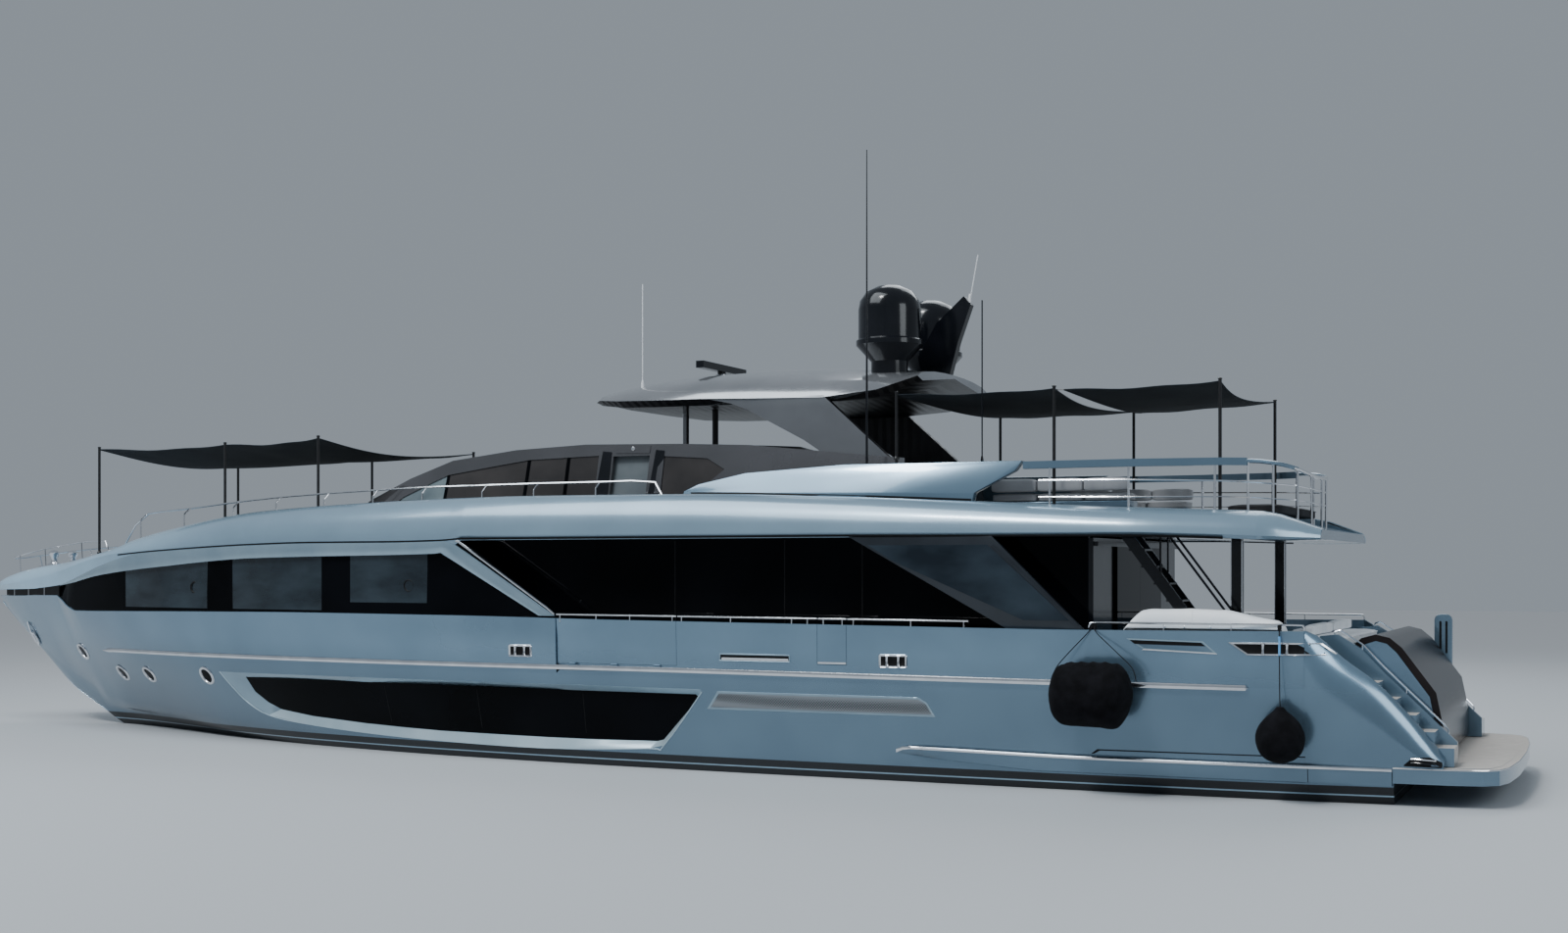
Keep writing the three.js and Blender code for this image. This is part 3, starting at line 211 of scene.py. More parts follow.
def two_tones(tree, source, low, high, color_a, color_b):
    """Turns a value into a colour that goes from one tone to another between two limits."""
    tone = node(tree, "ShaderNodeValToRGB", [("Fac", source)])
    for stop, at, color in zip(tone.color_ramp.elements, (low, high), (color_a, color_b)):
        stop.position = at
        stop.color = (*color, 1)
    return tone.outputs["Color"]


def raised(tree, shader, height, distance, strength=1.0, **more):
    """Raises a material's surface where a value is high."""
    bump = node(tree, "ShaderNodeBump", [("Height", height)], Strength=strength, Distance=distance, **more)
    tree.links.new(bump.outputs["Normal"], shader.inputs["Normal"])


def mottle(tree, shader, color_a, color_b, scale, bump_scale, bump, stretch=(1, 1, 1)):
    """Cloudy change of colour between two tones, and low waves in the surface."""
    place = node(tree, "ShaderNodeTexCoord").outputs["Object"]
    drawn_out = node(tree, "ShaderNodeMapping", [("Vector", place)], Scale=stretch).outputs["Vector"]
    cloud = node(tree, "ShaderNodeTexNoise", [("Vector", drawn_out)], Scale=scale, Detail=4.0)
    tone = two_tones(tree, cloud.outputs["Fac"], 0.35, 0.65, color_a, color_b)
    tree.links.new(tone, shader.inputs["Base Color"])
    wave = node(tree, "ShaderNodeTexNoise", [("Vector", drawn_out)], Scale=bump_scale, Detail=3.0)
    raised(tree, shader, wave.outputs["Fac"], bump)
    return place, tone


def mottled(name, color, rough, *clouds, metal=0.0, coat=0.0, specular=0.5):
    """A material with nothing more to it than a mottle, whose values are given as clouds."""
    made, tree, shader = material(name, color, rough, metal, coat)
    mottle(tree, shader, *clouds)
    shader.inputs["Specular IOR Level"].default_value = specular
    return made


def rising(x, start, length, least=0.0):
    """Goes up to one over a length that begins at a start, and is never under the least."""
    return max(least, min(1.0, (x - start) / length))


knit = mottled("fender_knit", (0.003, 0.003, 0.004), 0.95, (0.0018, 0.0018, 0.0026), (0.006, 0.006, 0.008),
               5.0, 90.0, 0.006, specular=0.15)
rope = mottled("black_rope", (0.006, 0.006, 0.007), 0.85, (0.004, 0.004, 0.005), (0.014, 0.014, 0.016),
               30.0, 120.0, 0.004, specular=0.2)
creases = bpy.data.textures.new("fender_creases", 'CLOUDS')
creases.noise_scale = 0.22


def inflated(profile, place, steps, axis, depth):
    """A fender's cover, tight with air: round, with creases of a small depth."""
    piece = spun(profile, place, steps, axis)
    applied(piece, 'SUBSURF', levels=2, render_levels=2)
    return applied(piece, 'DISPLACE', texture=creases, strength=depth, mid_level=0.75, texture_coords='LOCAL')


LONG_FENDER = (10.80, -4.1233, 1.57)
fender = inflated([(0, -0.645), (0.10, -0.645), (0.24, -0.60), (0.37, -0.555), (0.455, -0.48), (0.495, -0.38),
                   (0.50, -0.15), (0.503, 0.1), (0.50, 0.36), (0.46, 0.47), (0.37, 0.555), (0.24, 0.60),
                   (0.10, 0.645), (0, 0.645)], LONG_FENDER, 48, 'X', 0.022)
for corner in fender.data.vertices:        # the aft end of its cover hangs slack, and its top is gathered
    x, y, z = corner.co - Vector(LONG_FENDER)
    slack = rising(x, 0.15, 0.35) * max(0, -z / 0.5)
    corner.co.z -= 0.055 * slack
    corner.co.x -= 0.05 * slack + 0.03
    if z > 0.3:
        corner.co.z += 0.012 * math.sin(x * 34) * (z - 0.3) / 0.2
finished(fender, "long_fender", knit, "fender_cloth", "fender_long")
ball = inflated([(0, -0.415), (0.08, -0.408), (0.22, -0.36), (0.33, -0.24), (0.375, -0.08), (0.355, 0.07),
                 (0.285, 0.20), (0.20, 0.29), (0.12, 0.355), (0.075, 0.395), (0.06, 0.43), (0, 0.435)],
                (13.56, -3.821, 1.02), 40, 'Z', 0.016)
finished(ball, "ball_fender", knit, "fender_cloth", "fender_ball")


def coil(centre, radius, thick, turns, height):
    """Turns of rope round an upright post."""
    steps = 14
    points = []
    for k in range(steps * turns + 1):
        across, along = on_circle(radius, k, steps)
        points.append((centre[0] + across, centre[1] + along, centre[2] + height * k / (steps * turns)))
    return tube(points, thick, 6)


ROPE = 0.016
POST_Y, LASHING_Z, LASHING_RADIUS = -3.52, 2.565, 0.026
for name, turns, route in (
        ("fender_line_forward", 4, [(10.64, -3.57, 2.60), (10.60, -3.66, 2.50), (10.36, -3.86, 2.20),
                                    (10.20, -3.98, 1.98), (10.135, -4.08, 1.78)]),
        ("fender_line_aft", 3, [(10.68, -3.57, 2.60), (10.74, -3.66, 2.50), (11.12, -3.86, 2.20),
                                (11.38, -3.98, 1.98), (11.465, -4.08, 1.78)]),
        ("ball_fender_line", 5, [(13.50, -3.52, 2.60), (13.505, -3.58, 2.48), (13.53, -3.70, 2.00),
                                 (13.55, -3.80, 1.60), (13.56, -3.82, 1.45)])):
    points = eased(route)
    lashing = coil((route[0][0], POST_Y, LASHING_Z), LASHING_RADIUS, ROPE / 2, turns, 0.017 * turns)
    finished(lashing, name + "_lashing", rope, "fender_cloth")
    cord = line(points, ROPE / 2, 8)
    finished(cord, name, rope, "fender_cloth")
blue_tape = mottled("blue_tape", (0.10, 0.32, 0.62), 0.6, (0.08, 0.28, 0.56), (0.14, 0.40, 0.72),
                    30.0, 120.0, 0.002)
wrapping = tube([(13.505, -3.58, 2.475), (13.513, -3.605, 2.42), (13.519, -3.642, 2.27),
                 (13.523, -3.668, 2.20)], 0.017, 12)
finished(wrapping, "ball_fender_line_wrapping", blue_tape, "fender_cloth")

# Studio: a pale floor at the waterline, a pale surround, and wide soft lights high over the
# port side, the stern and the far side.
bpy.ops.mesh.primitive_plane_add(size=260, location=(0, 0, 0))
floor = bpy.context.object
floor.name = "floor"
pale, tree, shader = material("pale_floor", (0.46, 0.48, 0.50), 0.6)
floor.data.materials.append(pale)
world = bpy.data.worlds.new("surround")
world.use_nodes = True
world.node_tree.nodes["Background"].inputs["Color"].default_value = (0.74, 0.84, 0.95, 1)
world.node_tree.nodes["Background"].inputs["Strength"].default_value = 0.36
bpy.context.scene.world = world
SOFT_LIGHTS = (((-10, -16, 34), 26, 11000, (0, 0, 2)),          # place, size, watts, aim
               ((34, -10, 16), 12, 2000, (10, 0, 2)),
               ((4, 26, 30), 24, 5000, (0, 0, 2)))
for place, size, watts, aim in SOFT_LIGHTS:
    bpy.ops.object.light_add(type='AREA', location=place)
    lamp = bpy.context.object
    lamp.data.size = size
    lamp.data.energy = watts
    lamp.data.color = (0.88, 0.95, 1.0)
    lamp.rotation_euler = (Vector(aim) - Vector(place)).to_track_quat('-Z', 'Y').to_euler()
bpy.ops.object.light_add(type='SUN', location=(-20, -30, 40),
                         rotation=(math.radians(32), math.radians(-16), 0))
bpy.context.object.data.energy = 1.3
bpy.context.object.data.angle = math.radians(10)

# Hull: moulded composite, sprayed steel blue with a clear coat down to the boot top. Below it come
# a black band, a thin white line and black antifouling. The moulding is faired through its stations
# in one skin from the keel to the bulwark's top, and to the rub rail aft of the balcony.
def graded(tree, shader, place, tone, axis, start, end, first, last):
    """Makes a colour lighter or darker along an axis, by a factor that goes from first to last."""
    along = node(tree, "ShaderNodeSeparateXYZ", [("Vector", place)]).outputs[axis]
    factor = node(tree, "ShaderNodeMapRange", [("Value", along)],
                  **{"From Min": start, "From Max": end, "To Min": first, "To Max": last})
    scaled = node(tree, "ShaderNodeVectorMath", [(0, tone), ("Scale", factor.outputs["Result"])],
                  operation='SCALE')
    tree.links.new(scaled.outputs[0], shader.inputs["Base Color"])


BLUE = ((0.128, 0.204, 0.275), (0.148, 0.232, 0.308))
hull_paint = mottled("hull_paint", BLUE[0], 0.22, *BLUE, 0.8, 0.9, 0.004, metal=0.55, coat=0.7)

BAND_TOP = 0.4                   # the bands lie between the waterline and this height
ON_BLUE = 0.7                    # the bands' value on the blue, which also sets its metal and its coat
topsides, tree, shader = material("topsides", BLUE[0], 0.22, 0.55, 0.7)
place, tone = mottle(tree, shader, *BLUE, 0.8, 0.9, 0.004)
height = node(tree, "ShaderNodeSeparateXYZ", [("Vector", place)]).outputs["Z"]
span = node(tree, "ShaderNodeMapRange", [("Value", height)], **{"From Min": 0.0, "From Max": BAND_TOP})
bands = node(tree, "ShaderNodeValToRGB", [("Fac", span.outputs["Result"])])
bands.color_ramp.interpolation = 'CONSTANT'
bands.color_ramp.elements.remove(bands.color_ramp.elements[-1])
bands.color_ramp.elements[0].color = (0.035, 0.03, 0.03, 1)
for at, shade in ((0.28, (1.6, 1.5, 1.4)), (0.335, (0.04, 0.035, 0.035)), (0.65, [ON_BLUE] * 3)):
    bands.color_ramp.elements.new(at).color = (*shade, 1)
painted = node(tree, "ShaderNodeVectorMath", [(0, tone), (1, bands.outputs["Color"])], operation='MULTIPLY')
# Painted highlight: the blue grows a third lighter from 1.45 m up to 2.1 m, over the upper side and the
# bulwarks.
graded(tree, shader, place, painted.outputs[0], "Z", 1.45, 2.1, 1 / ON_BLUE, 1.32 / ON_BLUE)
for socket in ("Coat Weight", "Metallic"):
    tree.links.new(bands.outputs["Color"], shader.inputs[socket])

HALF_PLANK, HALF_CAULKING = 0.033, 0.0028
teak, tree, shader = material("teak_deck", (0.36, 0.31, 0.26), 0.62)
place = node(tree, "ShaderNodeTexCoord").outputs["Object"]
grain = node(tree, "ShaderNodeMapping", [("Vector", place)], Scale=(0.6, 9.0, 9.0)).outputs["Vector"]
fibre = node(tree, "ShaderNodeTexNoise", [("Vector", grain)], Scale=6.0, Detail=6.0)
wood = two_tones(tree, fibre.outputs["Fac"], 0.32, 0.70, (0.36, 0.33, 0.30), (0.55, 0.515, 0.475))
across = node(tree, "ShaderNodeSeparateXYZ", [("Vector", place)]).outputs["Y"]
plank = node(tree, "ShaderNodeMath", [(0, across)], operation='PINGPONG')
plank.inputs[1].default_value = HALF_PLANK
seam = node(tree, "ShaderNodeMath", [(0, plank.outputs[0])], operation='LESS_THAN')
seam.inputs[1].default_value = HALF_CAULKING
planked = node(tree, "ShaderNodeMix", [(0, seam.outputs[0]), (6, wood)], data_type='RGBA')
planked.inputs[7].default_value = (0.012, 0.012, 0.012, 1)
tree.links.new(planked.outputs[2], shader.inputs["Base Color"])
raised(tree, shader, seam.outputs[0], 0.002, 0.6, invert=True)

# x, keel z, chine y and z, paint line y and z, side y and z, bulwark top y and z
SIDE_Y, TOP_Y, TOP_Z = 6, 8, 9             # the columns that are read on their own
STATIONS = [
    (-16.44, 2.700, 0.012, 2.730, 0.022, 2.760, 0.045, 2.800, 0.100, 2.864),
    (-16.02, 2.325, 0.014, 2.340, 0.030, 2.380, 0.110, 2.500, 0.325, 2.873),
    (-15.60, 1.970, 0.050, 2.020, 0.100, 2.100, 0.200, 2.260, 0.520, 2.878),
    (-15.10, 1.540, 0.050, 1.600, 0.130, 1.750, 0.300, 2.040, 0.752, 2.883),
    (-14.20, 0.800, 0.060, 0.900, 0.200, 1.200, 0.520, 1.780, 1.122, 2.903),
    (-13.20, 0.260, 0.080, 0.400, 0.320, 0.800, 0.900, 1.660, 1.500, 2.908),
    (-12.82, 0.050, 0.100, 0.300, 0.370, 0.600, 1.050, 1.650, 1.630, 2.705),
    (-12.40, -0.12, 0.180, 0.290, 0.450, 0.520, 1.210, 1.645, 1.764, 2.583),
    (-12.00, -0.28, 0.270, 0.280, 0.530, 0.450, 1.370, 1.640, 1.890, 2.585),
    (-10.50, -0.72, 0.780, 0.220, 1.010, 0.400, 1.910, 1.640, 2.332, 2.603),
    (-8.00, -1.12, 1.600, 0.050, 1.850, 0.260, 2.605, 1.640, 2.912, 2.633),
    (-5.00, -1.35, 2.350, -0.12, 2.600, 0.260, 3.122, 1.640, 3.322, 2.653),
    (-1.50, -1.45, 2.900, -0.28, 3.100, 0.260, 3.461, 1.640, 3.542, 2.643),
    (2.00, -1.45, 3.120, -0.36, 3.350, 0.260, 3.581, 1.640, 3.611, 2.603),
    (6.00, -1.38, 3.200, -0.40, 3.420, 0.260, 3.600, 1.640, 3.620, 2.573),
    (10.0, -1.25, 3.200, -0.40, 3.420, 0.260, 3.600, 1.640, 3.620, 2.543),
    (12.5, -1.12, 3.160, -0.40, 3.380, 0.260, 3.520, 1.640, 3.550, 2.553),
    (13.89, -1.05, 3.120, -0.40, 3.320, 0.260, 3.440, 1.640, 3.460, 2.563),
]
SIDE_TOP = 1.70                  # where the skin ends aft of the balcony, behind the rub rail
BALCONY_SEAM = 0.895
SIDES = ("port", "starboard")
TO_PORT, UPWARD = (0, -1, 0), (0, 0, 1)


def fair(table, x, column):
    """Reads a column at x on a smooth curve that doesn't overshoot the table's rows."""
    xs = [row[0] for row in table]
    ys = [row[column] for row in table]
    k = max(0, min(len(xs) - 2, sum(1 for one in xs if one <= x) - 1))
    slope = [(ys[i + 1] - ys[i]) / (xs[i + 1] - xs[i]) for i in range(len(xs) - 1)]

    def tangent(i):
        if i == 0 or i == len(xs) - 1:
            return slope[min(i, len(slope) - 1)]
        a, b = slope[i - 1], slope[i]
        return 3 * (a + b) / ((2 * b + a) / a + (b + 2 * a) / b) if a * b > 0 else 0.0
    h = xs[k + 1] - xs[k]
    t = max(0.0, min(1.0, (x - xs[k]) / h))
    return (ys[k] * (2 * t ** 3 - 3 * t ** 2 + 1) + h * tangent(k) * (t ** 3 - 2 * t ** 2 + t)
            + ys[k + 1] * (3 * t ** 2 - 2 * t ** 3) + h * tangent(k + 1) * (t ** 3 - t ** 2))


def marks(low, high, step, *extra):
    """Stations from low to high, a step or less apart, with some more that are given."""
    count = max(1, math.ceil((high - low) / step))
    return sorted(set([low + (high - low) * i / count for i in range(count + 1)] + list(extra)))


def shelled(piece, thick, out=0.004):
    """Gives a sheet its thickness, most of it behind the sheet."""
    applied(piece, 'SOLIDIFY', thickness=thick, offset=2 * out / thick - 1, use_quality_normals=True)
    return outward(piece)


def mirror_copy(piece):
    """The same piece on the starboard side, with its own mesh."""
    twin = piece.copy()
    twin.data = piece.data.copy()
    bpy.context.scene.collection.objects.link(twin)
    twin.scale = (1, -1, 1)
    alone(twin)
    bpy.ops.object.transform_apply(location=False, rotation=False, scale=True)
    return outward(twin)


def turned(piece, way):
    """Turns a sheet over if its faces look away from a direction."""
    if sum(face.normal.dot(Vector(way)) * face.area for face in piece.data.polygons) < 0:
        piece.data.flip_normals()
    return piece


def half_section(x):
    """The port half of the hull at x, from the keel to the bulwark's top."""
    keel, cy, cz, py, pz, sy, sz, ty, tz = (fair(STATIONS, x, column) for column in range(1, 10))
    chine, paint = Vector((cy, cz)), Vector((py, pz))
    low = [Vector((0, keel)).lerp(chine, t) for t in (0, 0.35, 0.7, 1)] + [chine.lerp(paint, 0.5)]
    high = eased([(py, pz, 0), (sy, sz, 0), (ty, tz, 0)], 6)
    return [(x, -p[0], p[1]) for p in low + high]


PAINT_POINT, SIDE_POINT = 5, 11          # which points of a half section lie on the paint line and the side
stations = marks(-16.44, 13.89, 0.25, BALCONY_SEAM, *[row[0] for row in STATIONS[:8]])
fore_part = [half_section(x) for x in stations if x <= BALCONY_SEAM]
aft_part = [fore_part[-1][:SIDE_POINT + 1]]
for x in [one for one in stations if one > BALCONY_SEAM]:
    section = half_section(x)
    top = Vector((x, section[SIDE_POINT][1], SIDE_TOP))
    upright = [Vector(section[PAINT_POINT]).lerp(top, k / 6) for k in range(1, 7)]
    aft_part.append(section[:PAINT_POINT + 1] + upright)
skin = outward(welded([drawn(list(zip(*part))) for part in (fore_part, aft_part)]))
shelled(turned(skin, TO_PORT), 0.024)


def skinned(source, angle=30, edge=0.0):
    """A merged copy of a CAD node, shaded smooth up to an angle, with its edges rounded."""
    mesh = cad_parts[source].data.copy()
    copy = bpy.data.objects.new(source + "_skin", mesh)
    bpy.context.scene.collection.objects.link(copy)
    alone(copy)
    if mesh.has_custom_normals:
        bpy.ops.mesh.customdata_custom_splitnormals_clear()
    bpy.ops.object.mode_set(mode='EDIT')
    bpy.ops.mesh.select_all(action='SELECT')
    bpy.ops.mesh.remove_doubles(threshold=0.0002)
    bpy.ops.mesh.dissolve_limited(angle_limit=math.radians(0.3))
    bpy.ops.object.mode_set(mode='OBJECT')
    if edge:
        applied(copy, 'BEVEL', width=edge, segments=2, limit_method='ANGLE', angle_limit=math.radians(40))
    return smooth(copy, angle)


def dressed(source, name, finish, slot, angle=30, edge=0.0, body="yacht"):
    """A finished piece made from a CAD node, which it replaces."""
    return finished(skinned(source, angle, edge), name, finish, slot, source, body=body)


def finish_faces(piece, index, chosen):
    """Gives the faces that are chosen by their normal and middle another of the piece's finishes."""
    for face in piece.data.polygons:
        if chosen(face.normal, face.center):
            face.material_index = index


def facing(*sources, more=()):
    """A function that gives the y of the port face of some CAD nodes, and of more pieces, at (x, z)."""
    copies = [skinned(source) for source in sources]
    points, faces = [], []
    for piece in list(more) + copies:
        faces += [[v + len(points) for v in face.vertices] for face in piece.data.polygons]
        points += [v.co.copy() for v in piece.data.vertices]
    for copy in copies:
        bpy.data.objects.remove(copy)
    tree = BVHTree.FromPolygons(points, faces)

    def face_y(x, z):
        hit = tree.ray_cast(Vector((x, -9, z)), Vector((0, 1, 0)))[0]
        return hit.y if hit else -3.6
    return face_y


side = facing("bulwark_port", "balcony_port", "gate_port", more=[skin])


def cornered(outline):
    """A flat face in the centre plane through corners given as (x, z)."""
    bpy.ops.object.select_all(action='DESELECT')
    bpy.ops.mesh.primitive_circle_add(vertices=len(outline), fill_type='NGON')
    piece = bpy.context.object
    for corner, (x, z) in zip(piece.data.vertices, outline):
        corner.co = (x, 0, z)
    return piece


def box(x0, x1, z0, z1):
    """The outline of an upright rectangle."""
    return [(x0, z0), (x1, z0), (x1, z1), (x0, z1)]


def rounded(outline, radius, steps=4):
    """An outline with its corners rounded."""
    out = []
    for i, corner in enumerate(outline):
        c, a, b = Vector(corner), Vector(outline[i - 1]), Vector(outline[(i + 1) % len(outline)])
        r = min(radius, (a - c).length * 0.45, (b - c).length * 0.45)
        p, q = c + (a - c).normalized() * r, c + (b - c).normalized() * r
        out += [tuple(p * (1 - t) ** 2 + c * 2 * t * (1 - t) + q * t ** 2)
                for t in (k / steps for k in range(steps + 1))]
    return out


def divided(piece, *cuts):
    """Cuts a piece's faces along planes, each written as ("x", place) or the like."""
    alone(piece)
    bpy.ops.object.mode_set(mode='EDIT')
    for axis, at in cuts:
        bpy.ops.mesh.select_all(action='SELECT')
        bpy.ops.mesh.bisect(plane_co=(at, at, at), plane_no=[float(axis == name) for name in "xyz"])
    bpy.ops.object.mode_set(mode='OBJECT')
    return piece


def laid(outline, frame_width=0.0, proud=0.004, sunk=0.0, thick=0.012, every=0.4, surface=side):
    """A panel that lies on the port side: its rim takes finish 0, and the field inside it finish 1."""
    piece = cornered(outline)
    alone(piece)
    if frame_width:
        bpy.ops.object.mode_set(mode='EDIT')
        bpy.ops.mesh.select_all(action='SELECT')
        bpy.ops.mesh.inset(thickness=frame_width, depth=0)
        bpy.ops.object.mode_set(mode='OBJECT')
    for one in (0, 1):
        piece.data.materials.append(None)
    for face in piece.data.polygons:
        face.material_index = 1 if face.select and frame_width else 0
    for axis, places in zip("xz", zip(*outline)):
        divided(piece, *[(axis, at) for at in marks(min(places), max(places), every)[1:-1]])
    inside = {v for face in piece.data.polygons if face.material_index == 1 for v in face.vertices}
    for i, corner in enumerate(piece.data.vertices):
        corner.co.y = surface(corner.co.x, corner.co.z) - proud + (sunk if i in inside else 0)
    return shelled(turned(piece, TO_PORT), thick, 0.0)


def pair(port, name, finish, slot, body="yacht"):
    """A piece on the port side and its twin on the starboard side, each finished."""
    both = (port, mirror_copy(port))
    for piece, word in zip(both, SIDES):
        finished(smooth(piece), name + "_" + word, finish, slot, body=body.replace("SIDE", word))
    return both


def panels(name, outline, finish, slot, body="yacht", **how):
    """A pair of laid panels."""
    return pair(laid(outline, **how), name, finish, slot, body=body)


SKIN_ROOM, ROOM_BELOW, SKIN_HEIGHT = 0.16, 0.07, 2.95


def narrowed(piece, before):
    """Draws a copy's outside in behind the skin that covers it forward of a place."""
    for corner in piece.data.vertices:
        x, y, z = corner.co
        if x < before and z < SKIN_HEIGHT:
            corner.co.y = y * (1 - SKIN_ROOM / (abs(y) + SKIN_ROOM))
            if z < 0.5:
                corner.co.z = z + ROOM_BELOW
    return piece


# Openings of the side: the long window in its bevelled frame, four portholes and the engine
# room's air intake. Each is cut out of the moulding and has its frame bedded in it.
WINDOW = [
    (-7.66, 1.415), (-7.42, 1.11), (-7.08, 0.79), (-6.55, 0.56), (-5.58, 0.445), (-3.87, 0.345),
    (-2.0, 0.285), (0.5, 0.262), (2.66, 0.35), (2.98, 0.42), (3.80, 1.38), (3.76, 1.425), (1.3, 1.44),
    (-3.56, 1.434),
]
PANE = [
    (-7.00, 1.325), (-6.85, 1.02), (-6.55, 0.82), (-6.20, 0.69), (-5.30, 0.593), (-3.82, 0.516),
    (-1.96, 0.463), (0.5, 0.452), (2.80, 0.478), (2.93, 0.51), (3.69, 1.28), (3.62, 1.33), (1.29, 1.332),
    (-3.59, 1.338),
]
INTAKE = [(3.88, 1.09), (4.10, 1.40), (7.76, 1.40), (7.90, 1.32), (8.04, 1.09)]
PORTHOLES = [(-12.90, 1.66), (-11.48, 1.235), (-10.34, 1.25), (-8.13, 1.315)]
PORTHOLE_CUT = 0.185
plugs = []
for outline in [WINDOW, INTAKE] + [
        [(x + across, z + up) for across, up in (on_circle(PORTHOLE_CUT, k, 20) for k in range(20))]
        for x, z in PORTHOLES]:
    plug = cornered(outline)
    plug.data.transform(Matrix.Translation((0, -2.6, 0)))
    plugs.append(outward(applied(plug, 'SOLIDIFY', thickness=4.2, offset=0)))
plugs = welded(plugs)
applied(skin, 'BOOLEAN', object=plugs, operation='DIFFERENCE', solver='EXACT')
bpy.data.objects.remove(plugs)
finished(smooth(welded([skin, mirror_copy(skin)]), 32), "hull_skin", topsides, "hull_paint")
core = finished(narrowed(skinned("hull"), 13.85), "hull_core", [topsides, teak], "hull_paint", "hull")
finish_faces(core, 1, lambda n, c: n.z > 0.97 and 1.60 < c.z < 1.70)

# Glass of the sides: black tinted panes bonded in the openings, with seams between them. Round the
# long window runs a bevelled frame that is sprayed a lighter silver blue; its low upward faces take a
# paler blue as a painted highlight, and a pale tube along its lower edge is a painted highlight line.
glass = mottled("black_glass", (0.002, 0.002, 0.003), 0.03, (0.0012, 0.0015, 0.002), (0.003, 0.0036, 0.005),
                0.5, 0.4, 0.0015, specular=0.05)
# Black of the seals and seams, also laid as painted shade in grooves, gaps, slots, openings and recesses.
seal_and_shade = mottled("black_seal", (0.003, 0.003, 0.003), 0.6, (0.002, 0.002, 0.0025), (0.005, 0.005, 0.006),
               8.0, 60.0, 0.001, specular=0.2)
silver = mottled("frame_paint", (0.30, 0.41, 0.49), 0.16, (0.27, 0.38, 0.46), (0.33, 0.45, 0.53),
                 1.0, 1.5, 0.002, metal=0.6, coat=0.8)
sill_highlight_paint = mottled("sill_highlight_paint", (0.50, 0.64, 0.72), 0.2, (0.44, 0.58, 0.66), (0.56, 0.70, 0.78),
                     1.0, 1.5, 0.002, metal=0.4, coat=0.8)
chrome = mottled("polished_steel", (0.80, 0.81, 0.83), 0.14, (0.74, 0.75, 0.78), (0.86, 0.87, 0.89),
                 3.0, 40.0, 0.0006, metal=1.0)
WINDOW_DEPTH = 0.11
panels("hull_window", PANE, glass, "dark_glass", proud=-WINDOW_DEPTH, every=0.3)
bevel = drawn([[(x, side(x, z) + depth, z) for x, z in outline]
               for outline, depth in ((WINDOW, -0.003), (PANE, WINDOW_DEPTH - 0.004))], closed=True)
# Painted highlight: the frame's faces that look upward, below 0.95 m, take the paler paint.
for piece in pair(shelled(turned(bevel, TO_PORT), 0.012, 0.0), "hull_window_frame", [silver, sill_highlight_paint],
                  "hull_paint"):
    finish_faces(piece, 1, lambda n, c: n.z > 0.12 and c.z < 0.95)
# Painted highlight line: a pale tube along the frame's lower edge.
highlight_line = [(x, side(x, z) - 0.004, z) for x, z in WINDOW[:11]]
pair(tube(eased(highlight_line, 4), 0.011, 8), "hull_window_highlight_line", sill_highlight_paint, "hull_paint")
for k, x in enumerate((-3.17, -0.97, 1.34)):
    panels("hull_window_seam_%d" % k, box(x - 0.006, x + 0.006, 0.56, 1.27), seal_and_shade, "dark_glass",
           proud=0.003 - WINDOW_DEPTH, thick=0.006)

# Portholes: round black panes in heavy rims of polished steel, screwed to the moulding. Each is
# turned to lie square on the side where it stands.
for k, (x, z) in enumerate(PORTHOLES):
    rim = [(0.150, -0.03), (0.150, 0.006), (0.158, 0.022), (0.178, 0.028), (0.200, 0.022), (0.210, 0.005),
           (0.205, -0.03), (0.150, -0.03)]
    disc = [(0, -0.024), (0.151, -0.024), (0.151, -0.014), (0.08, -0.010), (0, -0.009)]
    turn = math.atan2(side(x + 0.1, z) - side(x - 0.1, z), 0.2)
    tip = math.atan2(side(x, z + 0.1) - side(x, z - 0.1), 0.2)
    seat = (Matrix.Translation((x, side(x, z), z)) @ Matrix.Rotation(turn, 4, 'Z')
            @ Matrix.Rotation(-tip, 4, 'X'))
    for profile, name, finish, slot in ((rim, "porthole_rim_%d", chrome, "stainless"),
                                        (disc, "porthole_glass_%d", glass, "dark_glass")):
        part = spun(profile, (0, 0, 0), 32, 'Y')
        part.data.transform(seat)
        pair(part, name % k, finish, slot)

# Engine room's air intake: a perforated steel mesh behind a thin painted frame, which is bedded in
# the opening cut for it.
mesh_steel, tree, shader = material("intake_mesh", (0.10, 0.105, 0.11), 0.4, 0.8)
place = node(tree, "ShaderNodeTexCoord").outputs["Object"]
slanted = node(tree, "ShaderNodeMapping", [("Vector", place)], Rotation=(0, math.radians(45), 0))
holes = node(tree, "ShaderNodeTexVoronoi", [("Vector", slanted.outputs["Vector"])],
             Scale=30.0, Randomness=0.0)
wire = two_tones(tree, holes.outputs["Distance"], 0.34, 0.42, (0.004, 0.004, 0.005), (0.28, 0.30, 0.32))
tree.links.new(wire, shader.inputs["Base Color"])
raised(tree, shader, wire, 0.004, 0.8)
panels("air_intake", INTAKE, [silver, mesh_steel], "hull_paint", frame_width=0.035, proud=0.006, sunk=0.018,
       thick=0.014)


# Rub rail: a half-round of polished steel along the whole side, bolted over the joint between the
# hull and the bulwark. It is pointed at the bow and cut square astern.
def trim(rows):
    """A long piece of trim through its outlines, with its ends filled."""
    piece = drawn(rows, closed=True)
    alone(piece)
    bpy.ops.object.mode_set(mode='EDIT')
    bpy.ops.mesh.select_all(action='SELECT')
    bpy.ops.mesh.fill_holes(sides=0)
    bpy.ops.object.mode_set(mode='OBJECT')
    return outward(piece)


RUB_START, RUB_END = -11.90, 13.04
RUB_LINE = [
    (-11.90, 1.722), (-11.30, 1.745), (-5.40, 1.750), (1.60, 1.750), (9.15, 1.715), (12.50, 1.698),
    (13.05, 1.694),
]


